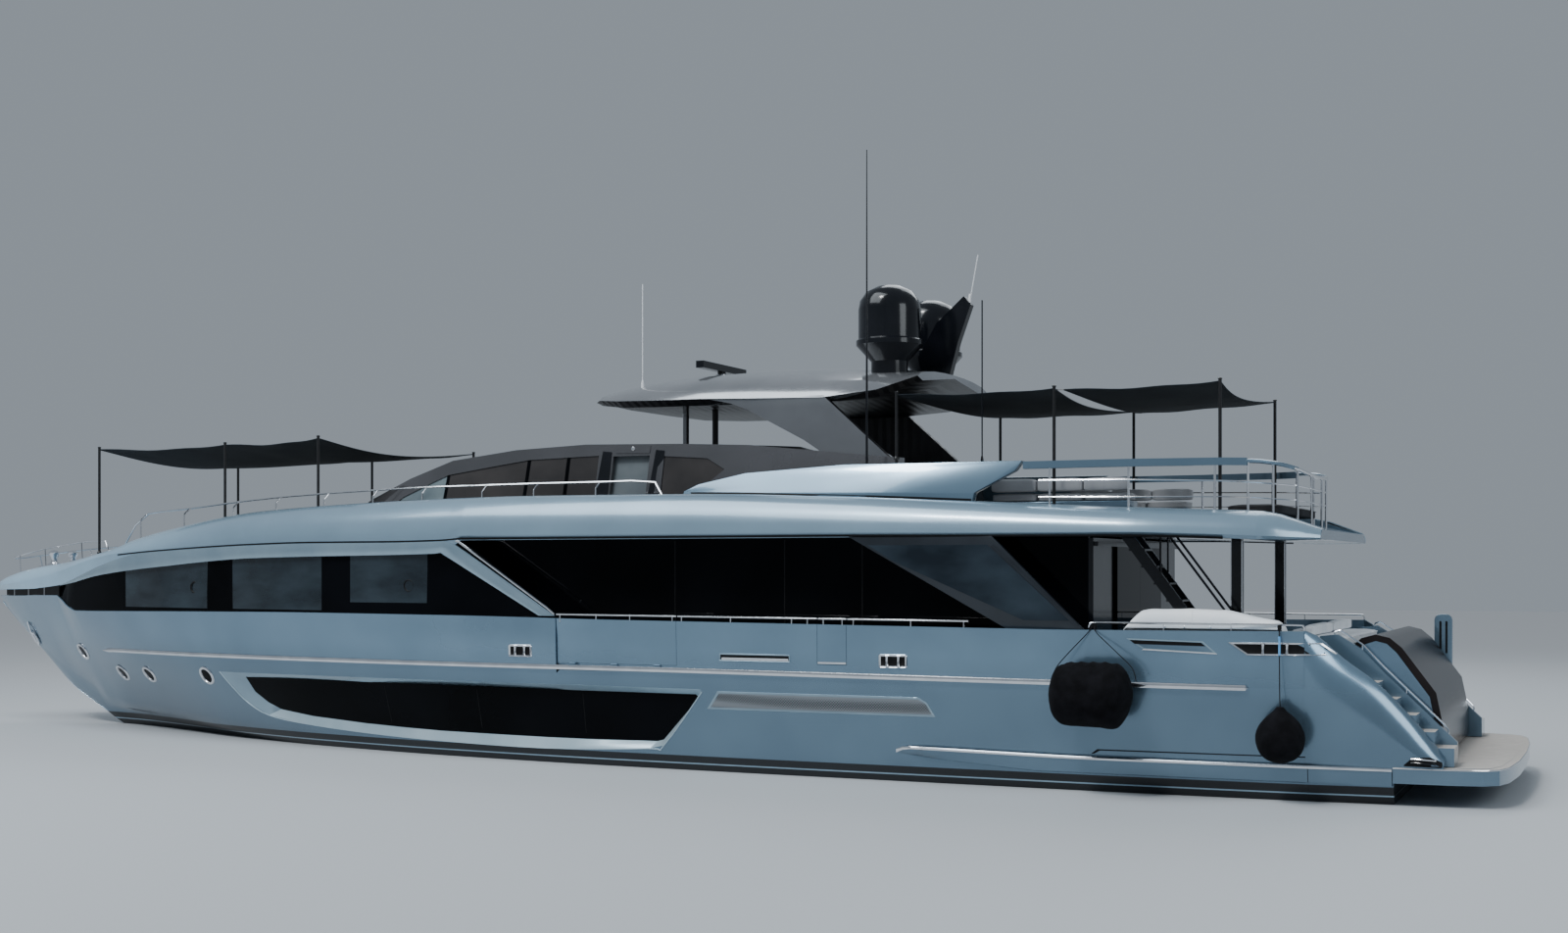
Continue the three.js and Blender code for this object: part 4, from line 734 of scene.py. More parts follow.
def rub_section(x):
    """The rail's outline at x, just outside the skin's side."""
    side_y, bulwark_y = fair(STATIONS, x, SIDE_Y), fair(STATIONS, x, TOP_Y)
    y, z = -side_y - 0.005 - (bulwark_y - side_y) * 0.1, fair(RUB_LINE, x, 1)
    full = max(0.10, min(1, (x - RUB_START) / 0.3, (RUB_END - x) / 0.04))
    out = 0.056 * full
    return [(x, y - reach, z + high * full)
            for reach, high in ((-0.02, -0.042), (out * 0.8, -0.040), (out, -0.016),
                                (out, 0.016), (out * 0.8, 0.040), (-0.02, 0.042))]


rub_rail = trim([rub_section(x) for x in marks(RUB_START, RUB_END, 0.3, -11.8, 13.0)])
pair(rub_rail, "rub_rail", chrome, "stainless")

# Strake: a moulded ledge low on the side that keeps fenders off, with a polished line along its top
# and a seam where the quarter wing begins. Above its aft part runs a shallow groove, laid as a dark
# strip of painted shade.
SIDE_END = 13.87                 # aft of here the quarter wing leans inwards
STRAKE_START, STRAKE_END = 7.29, 15.09
STRAKE_LINE = [
    (7.29, 0.513), (7.52, 0.59), (7.70, 0.592), (8.78, 0.575), (10.6, 0.550), (13.9, 0.548), (15.1, 0.548),
]
MORE_MARKS = (7.35, 7.45, 7.6, 7.8, 8.2)


def level(x, z):
    """The y of the side, evened out along a metre of it, so that a polished strip runs straight."""
    shares = ((-0.6, 1), (-0.3, 2), (0, 3), (0.3, 2), (0.6, 1))
    return sum(share * side(min(x + along, SIDE_END - 0.01), z) for along, share in shares) / 9


def moulding(xs, section):
    """A long trim on the port side. section(x) gives its outline as (how far out, height)."""
    return trim([[(x, level(x, z) + max(0, x - SIDE_END) * 0.055 - out, z) for out, z in section(x)]
                 for x in xs])


def strake_section(x):
    """The ledge's outline at x: it swells from its forward end, at the top first."""
    full, drop = rising(x, STRAKE_START, 0.5, 0.02), rising(x, STRAKE_START, 2.4, 0.02) ** 0.7
    top = fair(STRAKE_LINE, x, 1)
    return [(-0.01, 0.50 - 0.22 * drop), (0.075 * full * drop, 0.505 - 0.20 * drop),
            (0.095 * full, top - 0.05 * full), (0.085 * full, top - 0.010 * full), (0.060 * full, top),
            (-0.01, top + 0.004)]


def bright_section(x):
    """The polished line's outline at x, over the ledge's upper corner."""
    full, top = rising(x, STRAKE_START, 0.5, 0.05), fair(STRAKE_LINE, x, 1)
    return [(0.085 * full, top - 0.044), (0.108 * full, top - 0.036), (0.108 * full, top - 0.008),
            (0.085 * full, top + 0.010), (0.040 * full, top + 0.008)]


for name, xs, section, finish, slot in (
        ("strake", marks(STRAKE_START, STRAKE_END, 0.3, *MORE_MARKS), strake_section, topsides, "hull_paint"),
        ("strake_line", marks(7.33, STRAKE_END, 0.3, *MORE_MARKS), bright_section, chrome, "stainless"),
        ("strake_seam", [13.892, 13.902], lambda x: [(out + 0.002, z) for out, z in strake_section(x)],
         seal_and_shade, "hull_paint")):
    pair(moulding(xs, section), name, finish, slot)
panels("side_groove_shade", [(10.60, 0.60), (10.70, 0.675), (13.89, 0.680), (13.89, 0.664), (10.74, 0.655),
                       (10.645, 0.60)], seal_and_shade, "hull_paint", proud=0.003, thick=0.006)

# Bulwarks: the sides above the deck, moulded with the hull. Each side has a panel that folds out as a
# balcony and a boarding gate; fairleads, a long scupper and a recess are let into it.
for word in SIDES:
    shell = narrowed(skinned("bulwark_" + word), 0.88)
    finished(shell, "bulwark_shell_" + word, topsides, "hull_paint", "bulwark_" + word)
    for part in ("balcony_", "gate_"):
        dressed(part + word, part + "panel_" + word, topsides, "hull_paint", body=part + word)
panels("gate_foot_strip", box(5.995, 6.50, 1.915, 1.945), chrome, "stainless", "gate_SIDE", proud=0.008)
# The scupper's black field is painted shade in its slot.
panels("scupper_slot", box(4.16, 5.48, 1.93, 2.05), [silver, seal_and_shade], "hull_paint", frame_width=0.018,
       proud=0.012, sunk=0.010, thick=0.014)
panels("scupper_lip", [(4.20, 1.945), (5.46, 1.945), (5.45, 1.985), (4.21, 1.985)], chrome, "stainless",
       proud=0.013, thick=0.008)
# Each fairlead's black field is painted shade in its opening.
for k, (x, z) in enumerate(((0.14, 2.02), (7.33, 1.985))):
    panels("fairlead_%d" % k, rounded(box(x - 0.24, x + 0.24, z - 0.105, z + 0.105), 0.03), [chrome, seal_and_shade],
           "stainless", frame_width=0.028, proud=0.018, sunk=0.016, thick=0.018)
    for m, roller_x in enumerate((x - 0.10, x + 0.10)):
        roller = spun([(0, -0.085), (0.034, -0.085), (0.022, -0.05), (0.020, 0.05), (0.034, 0.085),
                       (0, 0.085)], (roller_x, side(roller_x, z) - 0.014, z), 20)
        pair(roller, "fairlead_roller_%d_%d" % (k, m), chrome, "stainless")
panels("light_recess", [(11.19, 2.42), (12.36, 2.39), (12.58, 2.20), (11.46, 2.25)], [silver, hull_paint],
       "hull_paint", frame_width=0.022, proud=0.006, sunk=0.004, thick=0.010)
panels("light_recess_shade", [(11.24, 2.395), (12.33, 2.368), (12.40, 2.315), (11.32, 2.335)], seal_and_shade,
       "hull_paint", proud=0.0075, thick=0.008)
panels("light_recess_lip", [(11.46, 2.262), (12.55, 2.215), (12.58, 2.196), (11.43, 2.244)], chrome,
       "stainless", proud=0.012)


# Handrails on the bulwarks: polished tube on short posts. The forward one comes down the slanted strip
# behind the forward windows, the aft one runs past the cockpit to the stairs.
def rail_length(x0, x1, *posts):
    """A straight length of the level handrail on its posts."""
    y, foot = -3.585, 2.55
    high = {x: 2.685 - (x - 1.0) * 0.004 for x in (x0, x1, *posts)}
    route = [(x0, y, high[x0] - 0.004), (x0 + 0.01, y, high[x0]),
             (x1 - 0.01, y, high[x1]), (x1, y, high[x1] - 0.004)]
    return [tube(route, 0.017, 12)] + [tube([(x, y, high[x]), (x, y, foot)], 0.010, 8) for x in posts]


slant = tube([(-1.22, -3.60, 4.00), (-1.15, -3.63, 3.99), (0.74, -3.63, 2.80), (0.88, -3.605, 2.685)],
             0.020, 12)
posts = [tube([(x, -3.63, z), (x + 0.02, -3.545, z - 0.05)], 0.012, 8)
         for x, z in ((-0.95, 3.865), (-0.16, 3.365), (0.56, 2.915))]
pair(welded([slant] + posts + rail_length(3.345, 5.97, 3.42, 4.36, 5.50, 5.79)
            + rail_length(6.52, 8.62, 6.62, 7.63, 8.54)), "side_handrail", chrome, "stainless")
pair(welded(rail_length(0.91, 3.32, 0.98, 1.72, 2.40, 3.24)), "balcony_handrail", chrome, "stainless",
     body="balcony_SIDE")
pair(welded(rail_length(5.99, 6.50, 6.08, 6.42)), "gate_handrail", chrome, "stainless", body="gate_SIDE")
aft_rail = tube(eased([(10.58, -3.52, 2.57), (10.60, -3.52, 2.63), (10.72, -3.52, 2.655),
                       (11.75, -3.51, 2.655), (12.77, -3.47, 2.65), (13.70, -3.40, 2.65),
                       (13.83, -3.39, 2.63), (13.85, -3.39, 2.55)], 4), 0.016, 12)
aft_posts = [tube([(x, y, 2.65), (x, y, 2.54)], 0.010, 8) for x, y in ((11.75, -3.51), (12.77, -3.47))]
pair(welded([aft_rail] + aft_posts), "cockpit_handrail", chrome, "stainless")

# Upper deck, coachroof and bow deck: one long moulding, painted outside, with teak on all that is
# walked on. Its outer band is faired from the stem to the stern in one rounded skin, and polished
# strips edge the two pillars that carry its aft end.
# x, lower lip y and z, widest line y and z, crown y and z
LIP_Y, LIP_Z, WIDE_Y, WIDE_Z, CROWN_Z = 1, 2, 3, 4, 6
BAND = [
    (-16.62, 0.02, 3.00, 0.04, 3.07, 0.03, 3.145), (-16.00, 0.36, 3.02, 0.42, 3.12, 0.25, 3.305),
    (-15.26, 0.70, 3.03, 0.75, 3.18, 0.50, 3.435), (-14.32, 1.08, 3.05, 1.12, 3.24, 0.85, 3.535),
    (-13.20, 1.48, 3.12, 1.52, 3.40, 1.20, 3.630), (-12.50, 1.74, 3.20, 1.78, 3.54, 1.45, 3.710),
    (-11.60, 2.02, 3.35, 2.06, 3.70, 1.72, 3.840), (-10.80, 2.26, 3.44, 2.30, 3.80, 1.93, 3.990),
    (-10.40, 2.36, 3.48, 2.40, 3.83, 2.02, 4.105), (-9.30, 2.64, 3.57, 2.68, 3.89, 2.28, 4.290),
    (-7.10, 3.04, 3.72, 3.08, 3.98, 2.66, 4.575), (-6.40, 3.16, 3.75, 3.20, 4.00, 2.76, 4.630),
    (-4.70, 3.34, 3.78, 3.38, 4.03, 2.92, 4.710), (-2.90, 3.45, 3.80, 3.49, 4.03, 3.02, 4.770),
    (-1.50, 3.50, 3.83, 3.54, 4.05, 3.08, 4.800), (-1.18, 3.50, 4.02, 3.55, 4.10, 3.09, 4.805),
    (0.00, 3.52, 4.02, 3.56, 4.10, 3.10, 4.815), (3.30, 3.52, 4.02, 3.56, 4.10, 3.12, 4.795),
    (6.10, 3.52, 4.02, 3.56, 4.10, 3.12, 4.705), (8.70, 3.50, 4.02, 3.54, 4.08, 3.10, 4.585),
    (11.10, 3.42, 4.02, 3.46, 4.07, 3.00, 4.465), (12.50, 3.24, 3.98, 3.28, 4.03, 2.85, 4.410),
    (13.10, 3.14, 3.95, 3.18, 4.00, 2.75, 4.385), (13.96, 2.60, 3.95, 2.64, 3.97, 2.40, 4.110),
]


def arched(start, knee, end, places):
    """Points on a curve that leaves its start and reaches its end along the lines to a knee."""
    return [start.lerp(knee, t).lerp(knee.lerp(end, t), t) for t in places]


def band_section(x):
    """The band's outline at x, from its lower lip over its widest line to its crown."""
    lip_y, lip_z, wide_y, wide_z, crown_y, crown_z = (fair(BAND, x, column) for column in range(1, 7))
    knee = Vector((crown_y + (wide_y - crown_y) * 0.84, wide_z + (crown_z - wide_z) * 0.84))
    curve = arched(Vector((wide_y, wide_z)), knee, Vector((crown_y, crown_z)),
                   (0, 0.15, 0.3, 0.45, 0.6, 0.75, 0.88, 1))
    inner = max(crown_y - 0.12, crown_y * 0.6)
    return ([(x, -max(0.004, lip_y - 0.03), lip_z + 0.012), (x, -lip_y, lip_z)]
            + [(x, -y, z) for y, z in curve] + [(x, -inner, crown_z + 0.003)])


# Painted light: the band's blue is lighter than the hull's, a painted highlight of the light from above, and
# forward of x = -7 it grows to twice as light at the bow, a painted reflection of the sky.
band_paint_lit, tree, shader = material("band_paint_lit", BLUE[1], 0.24, 0.35, 0.6)
place, tone = mottle(tree, shader, (0.200, 0.292, 0.370), (0.224, 0.326, 0.410), 0.8, 0.9, 0.004)
graded(tree, shader, place, tone, "X", -14.5, -7.0, 2.1, 1.05)
LIP_STEP = -1.19                 # where the band's lower lip steps up, over the slanted strip
band_xs = (marks(-16.62, LIP_STEP, 0.25, *[row[0] for row in BAND if row[0] < LIP_STEP])
           + marks(LIP_STEP + 0.01, 13.96, 0.3, *[row[0] for row in BAND if row[0] > LIP_STEP + 0.02]))
band = shelled(drawn(list(zip(*[band_section(x) for x in band_xs]))), 0.020, 0.005)
finished(smooth(welded([band, mirror_copy(band)]), 28), "deck_band", band_paint_lit, "hull_paint")
dressed("bow_deck", "bow_deck_shell", [hull_paint, teak], "hull_paint", 40)
coachroof = dressed("coachroof", "coachroof_shell", [hull_paint, teak], "hull_paint", 40)
finish_faces(coachroof, 1, lambda n, c: n.z > 0.95 and 3.9 < c.z < min(4.45, 4.0 + 0.12 * (c.x + 10.4)))
black = mottled("black_gloss", (0.004, 0.005, 0.007), 0.16, (0.003, 0.004, 0.006), (0.006, 0.007, 0.010),
                2.0, 3.0, 0.001, coat=0.15, specular=0.3)
upper = dressed("upper_deck", "upper_deck_shell", [hull_paint, teak, black], "hull_paint", 40)
finish_faces(upper, 1, lambda n, c: n.z > 0.95 and 4.2 < c.z < 4.37)
finish_faces(upper, 2, lambda n, c: c.z < 3.9 and abs(n.z) < 0.5 and c.x > 12)
PILLAR_X, PILLAR_Y, HALF_PILLAR = 12.58, 1.98, 0.083
for word, sign in zip(SIDES, (-1, 1)):
    for k, (dx, dy) in enumerate(((-1, -1), (1, -1), (-1, 1), (1, 1))):
        x, y = PILLAR_X + dx * HALF_PILLAR, sign * PILLAR_Y + dy * HALF_PILLAR
        edge = tube([(x, y, 1.67), (x, y, 3.94)], 0.008, 8)
        finished(edge, "pillar_edge_%s_%d" % (word, k), chrome, "stainless")


# Shadow gap under the band, lined with a black strip that is painted shadow of the band above it, and
# the light strip that frames the forward windows: it runs below the gap from the bow and comes down on
# the slant to the bulwark, glued over the glass.
def gap_section(x):
    """The gap's outline at x: it lies further under the band aft of the step in the band's lip."""
    wide_y, wide_z = fair(BAND, x, WIDE_Y), fair(BAND, x, WIDE_Z)
    aft = ((0.03, -0.075), (-0.001, -0.066), (-0.006, -0.042), (0.03, -0.04))
    fore = ((0.03, -0.050), (-0.004, -0.045), (-0.009, -0.018), (0.03, -0.015))
    return [(x, -wide_y + dy, wide_z + dz) for dy, dz in (aft if x > -1.3 else fore)]


pair(trim([gap_section(x) for x in marks(-10.6, 12.6, 0.35, -1.18)]), "band_shadow_gap", seal_and_shade, "hull_paint")
window_side = facing("owners_window_port", "coachroof", "upper_deck")
strip = []
for x in marks(-13.6, -1.75, 0.4):         # it widens from the bow
    low = fair(BAND, x, LIP_Z) - 0.01 - 0.045 * rising(x, -13.0, 4)
    high = low + 0.012 + (fair(BAND, x, WIDE_Z) - 0.052 - low - 0.012) * rising(x, -13.2, 3.2)
    y = -fair(BAND, x, LIP_Y) + 0.02 - 0.055 * rising(x, -13.6, 3.0)
    strip.append([(x, y + 0.05, low), (x, y - 0.004, low + 0.004), (x, y - 0.012, low * 0.8 + high * 0.2),
                  (x, y - 0.020, low * 0.15 + high * 0.85), (x, y - 0.010, high), (x, y + 0.05, high)])
SLANT = [((-1.62, 3.785), (-1.52, 4.000)), ((-1.50, 3.72), (-1.30, 3.93)), ((-1.30, 3.615), (-1.10, 3.82)),
         ((0.52, 2.655), (0.86, 2.655))]       # its lower and its upper edge on the way down
for (xa, za), (xb, zb) in SLANT:
    ya, yb = (min(window_side(x, z) - 0.028, -3.52) for x, z in ((xa, za), (xb, zb)))
    strip.append([(xa, ya + 0.07, za), (xa, ya, za + 0.002),
                  (xa * 0.85 + xb * 0.15, ya - 0.010, za * 0.85 + zb * 0.15),
                  (xa * 0.12 + xb * 0.88, yb - 0.012, za * 0.12 + zb * 0.88),
                  (xb, yb, zb), (xb, yb + 0.07, zb)])
pair(trim(strip), "window_strip", silver, "hull_paint")

# Panes: black tinted glass in the forward windows, the saloon, its doors and the wheelhouse, with
# roller blinds down behind the forward windows.
for node_name in ("windscreen", "saloon_side_port", "saloon_side_starboard"):
    dressed(node_name, node_name + "_pane", glass, "dark_glass", 35)
door_tint = mottled("door_tint", (0.10, 0.115, 0.125), 0.08, (0.085, 0.10, 0.11), (0.13, 0.148, 0.158),
                    1.2, 1.0, 0.001)
blind = mottled("blind_behind_glass", (0.014, 0.022, 0.029), 0.06, (0.007, 0.012, 0.017),
                (0.024, 0.037, 0.047), 0.8, 1.0, 0.002, (1, 1, 2.5))
BLINDS = ((-10.39, -7.66, 2.70, 3.66), (-6.91, -4.49, 2.70, 3.72), (-3.78, -1.95, 2.86, 3.76))
cuts = ([("x", edge) for blind_box in BLINDS for edge in blind_box[:2]]
        + [("z", z) for z in (2.70, 2.86, 3.66, 3.72, 3.76)])
for word in SIDES:
    for part, finish in (("saloon_door_", glass), ("wheelhouse_door_", door_tint)):
        dressed(part + word, part + "pane_" + word, finish, "dark_glass", body=part + word)
    pane = divided(skinned("owners_window_" + word, 35), *cuts)
    finished(pane, "owners_window_pane_" + word, [glass, blind], "dark_glass", "owners_window_" + word)
    finish_faces(pane, 1, lambda n, c: abs(n.y) > 0.5
                 and any(a < c.x < b and low < c.z < high for a, b, low, high in BLINDS))
for k, (x, z) in enumerate(((-8.05, 3.12), (-2.38, 3.18))):
    hoop = spun([(0.085, -0.012), (0.105, 0.0), (0.125, -0.012), (0.105, -0.02), (0.085, -0.012)],
                (x, window_side(x, z) - 0.006, z), 28, 'Y')
    pair(hoop, "window_ring_%d" % k, seal_and_shade, "dark_glass")
SALOON_FACE = -2.893
for k, x in enumerate((2.93, 5.06, 6.50)):
    panels("saloon_seam_%d" % k, box(x - 0.012, x + 0.012, 1.70, 3.99), seal_and_shade, "dark_glass", thick=0.006,
           surface=lambda x, z: SALOON_FACE)
for k, x in enumerate((7.13, 7.75, 8.34)):
    light = spun([(0, 0.0), (0.024, 0.0), (0.028, 0.012), (0.022, 0.02), (0, 0.022)], (x, -3.42, 3.995), 16)
    pair(light, "soffit_light_%d" % k, chrome, "stainless")

# Wings between the upper deck and the bulwark: a dark painted frame, with a dark tinted pane bonded to
# its outer face and a slanted bar down its aft edge. The pane's cloudy blue-grey is a painted reflection.
fin_glass_with_reflection = mottled("wing_glass", (0.020, 0.030, 0.042), 0.08, (0.008, 0.013, 0.019), (0.036, 0.052, 0.068),
                    0.55, 0.6, 0.0015, (1, 1, 1.8), specular=0.25)
fin_frame = mottled("wing_frame", (0.014, 0.019, 0.026), 0.3, (0.011, 0.015, 0.021), (0.018, 0.024, 0.032),
                    1.5, 2.0, 0.001, metal=0.3, coat=0.3)
WING_FACE = -3.541
for word in SIDES:
    dressed("side_wing_" + word, "side_wing_frame_" + word, fin_frame, "dark_glass", edge=0.006)
panels("side_wing_glass", [(6.86, 3.88), (8.92, 3.88), (10.27, 2.68), (9.52, 2.68), (7.3, 3.62)], fin_glass_with_reflection,
       "dark_glass", proud=0.003, thick=0.006, surface=lambda x, z: WING_FACE)
panels("side_wing_edge", [(8.98, 3.86), (9.03, 3.88), (10.42, 2.60), (10.36, 2.60)], fin_frame,
       "dark_glass", proud=0.006, thick=0.008, surface=lambda x, z: WING_FACE)

# Wheelhouse: moulded in carbon fibre and sprayed a dark metallic grey, with black pillars at its
# doors, a cap between their heads in the same grey, and a courtesy lamp.
HOUSE_GREY = ((0.078, 0.078, 0.084), (0.096, 0.095, 0.102))
grey = mottled("dark_grey_paint", HOUSE_GREY[0], 0.20, *HOUSE_GREY, 0.8, 1.1, 0.003, metal=0.6, coat=0.8)
dressed("wheelhouse", "wheelhouse_shell", grey, "upper_paint", 40)
house_side = facing("wheelhouse", "wheelhouse_window_port", "wheelhouse_door_port", "fly_window_port")
for k, (xa, xb) in enumerate(((0.93, 1.24), (2.04, 2.34))):
    panels("wheelhouse_pillar_%d" % k, [(xa, 4.40), (xb, 4.40), (xb - 0.02, 5.64), (xa + 0.10, 5.66)], black,
           "black_coating", proud=0.008, thick=0.03, surface=house_side)
panels("wheelhouse_cap", rounded([(1.30, 5.62), (2.02, 5.60), (2.02, 5.76), (1.34, 5.77)], 0.03), grey,
       "upper_paint", proud=0.012, thick=0.02, surface=house_side)
LAMP_X, LAMP_Z = 1.66, 5.69
lamp_glass = spun([(0, 0.0), (0.035, 0.0), (0.040, 0.010), (0.028, 0.022), (0, 0.024)],
                  (LAMP_X, house_side(LAMP_X, LAMP_Z) - 0.010, LAMP_Z), 20, 'Y')
pair(lamp_glass, "wheelhouse_lamp", chrome, "stainless")
tinted = mottled("brown_tint", (0.030, 0.027, 0.027), 0.08, (0.024, 0.022, 0.022), (0.040, 0.036, 0.035),
                 1.0, 1.0, 0.001)
pale_tint = mottled("pale_tint", (0.12, 0.16, 0.175), 0.08, (0.09, 0.12, 0.135), (0.16, 0.20, 0.215),
                   1.2, 1.0, 0.001)
PANE_FOOT = 4.83
BROWN_PANES = ((-2.41, -0.62), (-0.54, 0.26), (0.34, 0.9))
cuts = [("x", x) for x in (-2.49, -2.41, -0.62, -0.54, 0.26, 0.34)] + [("z", PANE_FOOT)]
for word in SIDES:
    dressed("fly_window_" + word, "fly_window_pane_" + word, tinted, "dark_glass", 35)
    pane = divided(skinned("wheelhouse_window_" + word, 35), *cuts)
    finished(pane, "wheelhouse_window_pane_" + word, [glass, tinted, pale_tint], "dark_glass",
             "wheelhouse_window_" + word)
    finish_faces(pane, 2, lambda n, c: c.x < -2.49 and c.z > PANE_FOOT)
    finish_faces(pane, 1, lambda n, c: c.z > PANE_FOOT and any(a < c.x < b for a, b in BROWN_PANES))

# Hardtop: one crowned carbon-fibre moulding, sprayed a lighter metallic grey, with a dark ribbed
# underside. Two blades carry its aft part down to the side screens.
top_grey, tree, shader = material("hardtop_paint_and_sheen", (0.17, 0.175, 0.185), 0.16, 0.65, 0.9)
place, tone = mottle(tree, shader, (0.15, 0.157, 0.168), (0.21, 0.216, 0.228), 0.8, 1.1, 0.003)
# Painted sheen: the grey grows up to nearly twice as light from 6.35 m up to 7.1 m, toward the crown.
graded(tree, shader, place, tone, "Z", 6.35, 7.1, 1.0, 1.9)
underside, tree, shader = material("hardtop_underside", (0.008, 0.008, 0.010), 0.4)
place, tone = mottle(tree, shader, (0.005, 0.005, 0.007), (0.012, 0.012, 0.014), 3.0, 40.0, 0.001)
lengthwise = node(tree, "ShaderNodeSeparateXYZ", [("Vector", place)]).outputs["X"]
rib = node(tree, "ShaderNodeMath", [(0, lengthwise)], operation='PINGPONG')
rib.inputs[1].default_value = 0.09
raised(tree, shader, rib.outputs[0], 0.15)
hardtop = dressed("hardtop", "hardtop_shell", [top_grey, underside], "upper_paint")
finish_faces(hardtop, 1, lambda n, c: (n.z < -0.6 and c.z > 6.5)
             or (c.z < 6.5 and (n.x > 0.4 or n.y * c.y < -0.3)))

# Fly deck: side screens painted like the hull, with a dark strip at their foot that is painted shade of
# the gap there, and a rail whose painted cap stands on steel posts with two more bars under it.
for word in SIDES:
    dressed("fly_coaming_" + word, "fly_coaming_shell_" + word, hull_paint, "hull_paint", edge=0.012)
foot_line = [(x, fair(BAND, x, CROWN_Z)) for x in marks(3.25, 8.45, 0.5)]
gap = [(x, z - 0.02) for x, z in foot_line] + [(x, z + 0.045) for x, z in reversed(foot_line)]
panels("coaming_foot_shade", gap, seal_and_shade, "hull_paint", proud=0.003, thick=0.006,
       surface=facing("fly_coaming_port"))
fly_rail = dressed("fly_rail", "fly_rail_shell", [hull_paint, chrome], "hull_paint")
finish_faces(fly_rail, 1, lambda n, c: c.z < 5.10)
# x, y, height of the upper bar and of the lower one
BARS = [(9.55, -2.80, 4.93, 4.66), (11.0, -2.79, 4.91, 4.64), (12.35, -2.56, 4.88, 4.63),
        (12.85, -2.30, 4.86, 4.62), (13.15, -2.03, 4.84, 4.60), (13.43, -1.50, 4.82, 4.59),
        (13.50, -0.55, 4.81, 4.58), (13.52, 0, 4.81, 4.58)]
for name, column, radius, sides in (("fly_rail_second", 2, 0.014, 10), ("fly_rail_third", 3, 0.010, 8)):
    bar = tube(eased([(row[0], row[1], row[column]) for row in BARS], 5), radius, sides)
    pair(bar, name, chrome, "stainless")
dressed("saloon_aft_wall", "saloon_aft_frame", black, "black_coating")

# Mast, radar, radomes and the tall whip aerial: glass-fibre housings and a rod, sprayed gloss black
# and bolted down. The radar's bar turns on its own body.
for word in SIDES:
    dressed("radome_" + word, "radome_cover_" + word, black, "black_coating", 35)
dressed("mast", "mast_fin", black, "black_coating")
dressed("radar_bar", "radar_scanner", black, "black_coating", body="radar_bar")
dressed("antenna_tall", "tall_whip", black, "black_coating")

# Stern: teak bathing platform, stairs on both sides with teak treads, the dark glossy garage lid
# and the winch post beside it.
platform = dressed("swim_platform", "platform_deck", [hull_paint, teak], "teak")
finish_faces(platform, 1, lambda n, c: n.z > 0.97)
lid_gloss = mottled("lid_gloss", (0.010, 0.007, 0.007), 0.22, (0.007, 0.005, 0.005), (0.016, 0.012, 0.012),
                    1.0, 0.8, 0.002, specular=0.2)
dressed("garage_lid", "garage_lid_skin", lid_gloss, "lid_gloss", body="garage_lid")
for word in SIDES:
    stairs = dressed("stern_stairs_" + word, "stern_stairs_shell_" + word, [hull_paint, teak], "hull_paint")
    finish_faces(stairs, 1, lambda n, c: n.z > 0.97 and 2.50 < abs(c.y) < 3.08 and c.z < 1.9)
post = dressed("gangway_post", "gangway_winch_post", [hull_paint, chrome], "hull_paint", 40, 0.012)
finish_faces(post, 1, lambda n, c: n.x > 0.6)
POST_FACE = 2.38
slots = [(x, z0, z1) for z0, z1 in ((2.02, 2.58), (1.44, 1.80)) for x in (15.235, 15.335)]
for k, (x, z0, z1) in enumerate(slots):
    slot_piece = laid(rounded(box(x, x + 0.035, z0, z1), 0.015), proud=0.002, thick=0.004,
                      surface=lambda x, z: POST_FACE)
    finished(slot_piece, "post_slot_%d" % k, seal_and_shade, "hull_paint")

# Quarter wings: the sides run out aft beside the stairs, and their upper edge is rolled over to the
# treads. They are moulded with the hull.
WING_FOOT = 0.50
# x, foot y, shoulder y and z, top y and z
WING = [
    (13.853, 3.347, 3.455, 2.40, 3.41, 2.56), (13.98, 3.344, 3.450, 2.12, 3.29, 2.50),
    (14.10, 3.342, 3.445, 1.95, 3.22, 2.40), (14.31, 3.337, 3.430, 1.76, 3.18, 2.20),
    (14.83, 3.332, 3.400, 1.28, 3.15, 1.81), (15.26, 3.325, 3.370, 0.90, 3.13, 1.38),
    (15.65, 3.318, 3.335, 0.64, 3.10, 0.92), (15.80, 3.312, 3.325, 0.60, 3.09, 0.72),
]
sections = []
for x in marks(13.888, 15.80, 0.12, 13.853):
    fy, ay, az, by, bz = (fair(WING, x, column) for column in range(1, 6))
    bulge = 0.034 * max(0, (15.1 - x) / 1.2)
    shoulder, top = Vector((ay, az)), Vector((by, bz))
    knee = shoulder.lerp(top, 0.5).lerp(Vector((ay, bz)), 0.42)
    section = [(fy + (ay - fy) * t + bulge * 4 * t * (1 - t), WING_FOOT + (az - WING_FOOT) * t)
               for t in (0, 0.2, 0.4, 0.6, 0.8)]
    section += arched(shoulder, knee, top, (0, 0.12, 0.25, 0.4, 0.55, 0.7, 0.85, 1))
    section += [(by - 0.03, bz + 0.004), (by - 0.07, bz - 0.006)]
    sections.append([(x, -y, z) for y, z in section])
wing = turned(drawn(list(zip(*sections))), TO_PORT)
pair(shelled(wing, 0.016, 0.006), "quarter_wing", topsides, "hull_paint")
quarter = facing("stern_stairs_port", more=[wing])

# Handrails of the stern stairs: polished steel tube, bent to follow the treads, on short posts welded
# below it.
STAIR_RAIL_Y = -2.44
STAIR_RAIL = [(14.14, 2.49), (14.16, 2.53), (14.24, 2.555), (14.56, 2.34), (14.87, 2.01), (15.74, 1.16),
              (15.80, 1.08), (15.80, 1.02)]
stair_rail = tube([(x, STAIR_RAIL_Y, z) for x, z in STAIR_RAIL], 0.014, 10)
posts = [tube([(x, STAIR_RAIL_Y, z), (x, STAIR_RAIL_Y, z - 0.09)], 0.009, 8)
         for x, z in ((14.56, 2.34), (15.20, 1.69))]
pair(welded([stair_rail] + posts), "stair_handrail", chrome, "stainless")
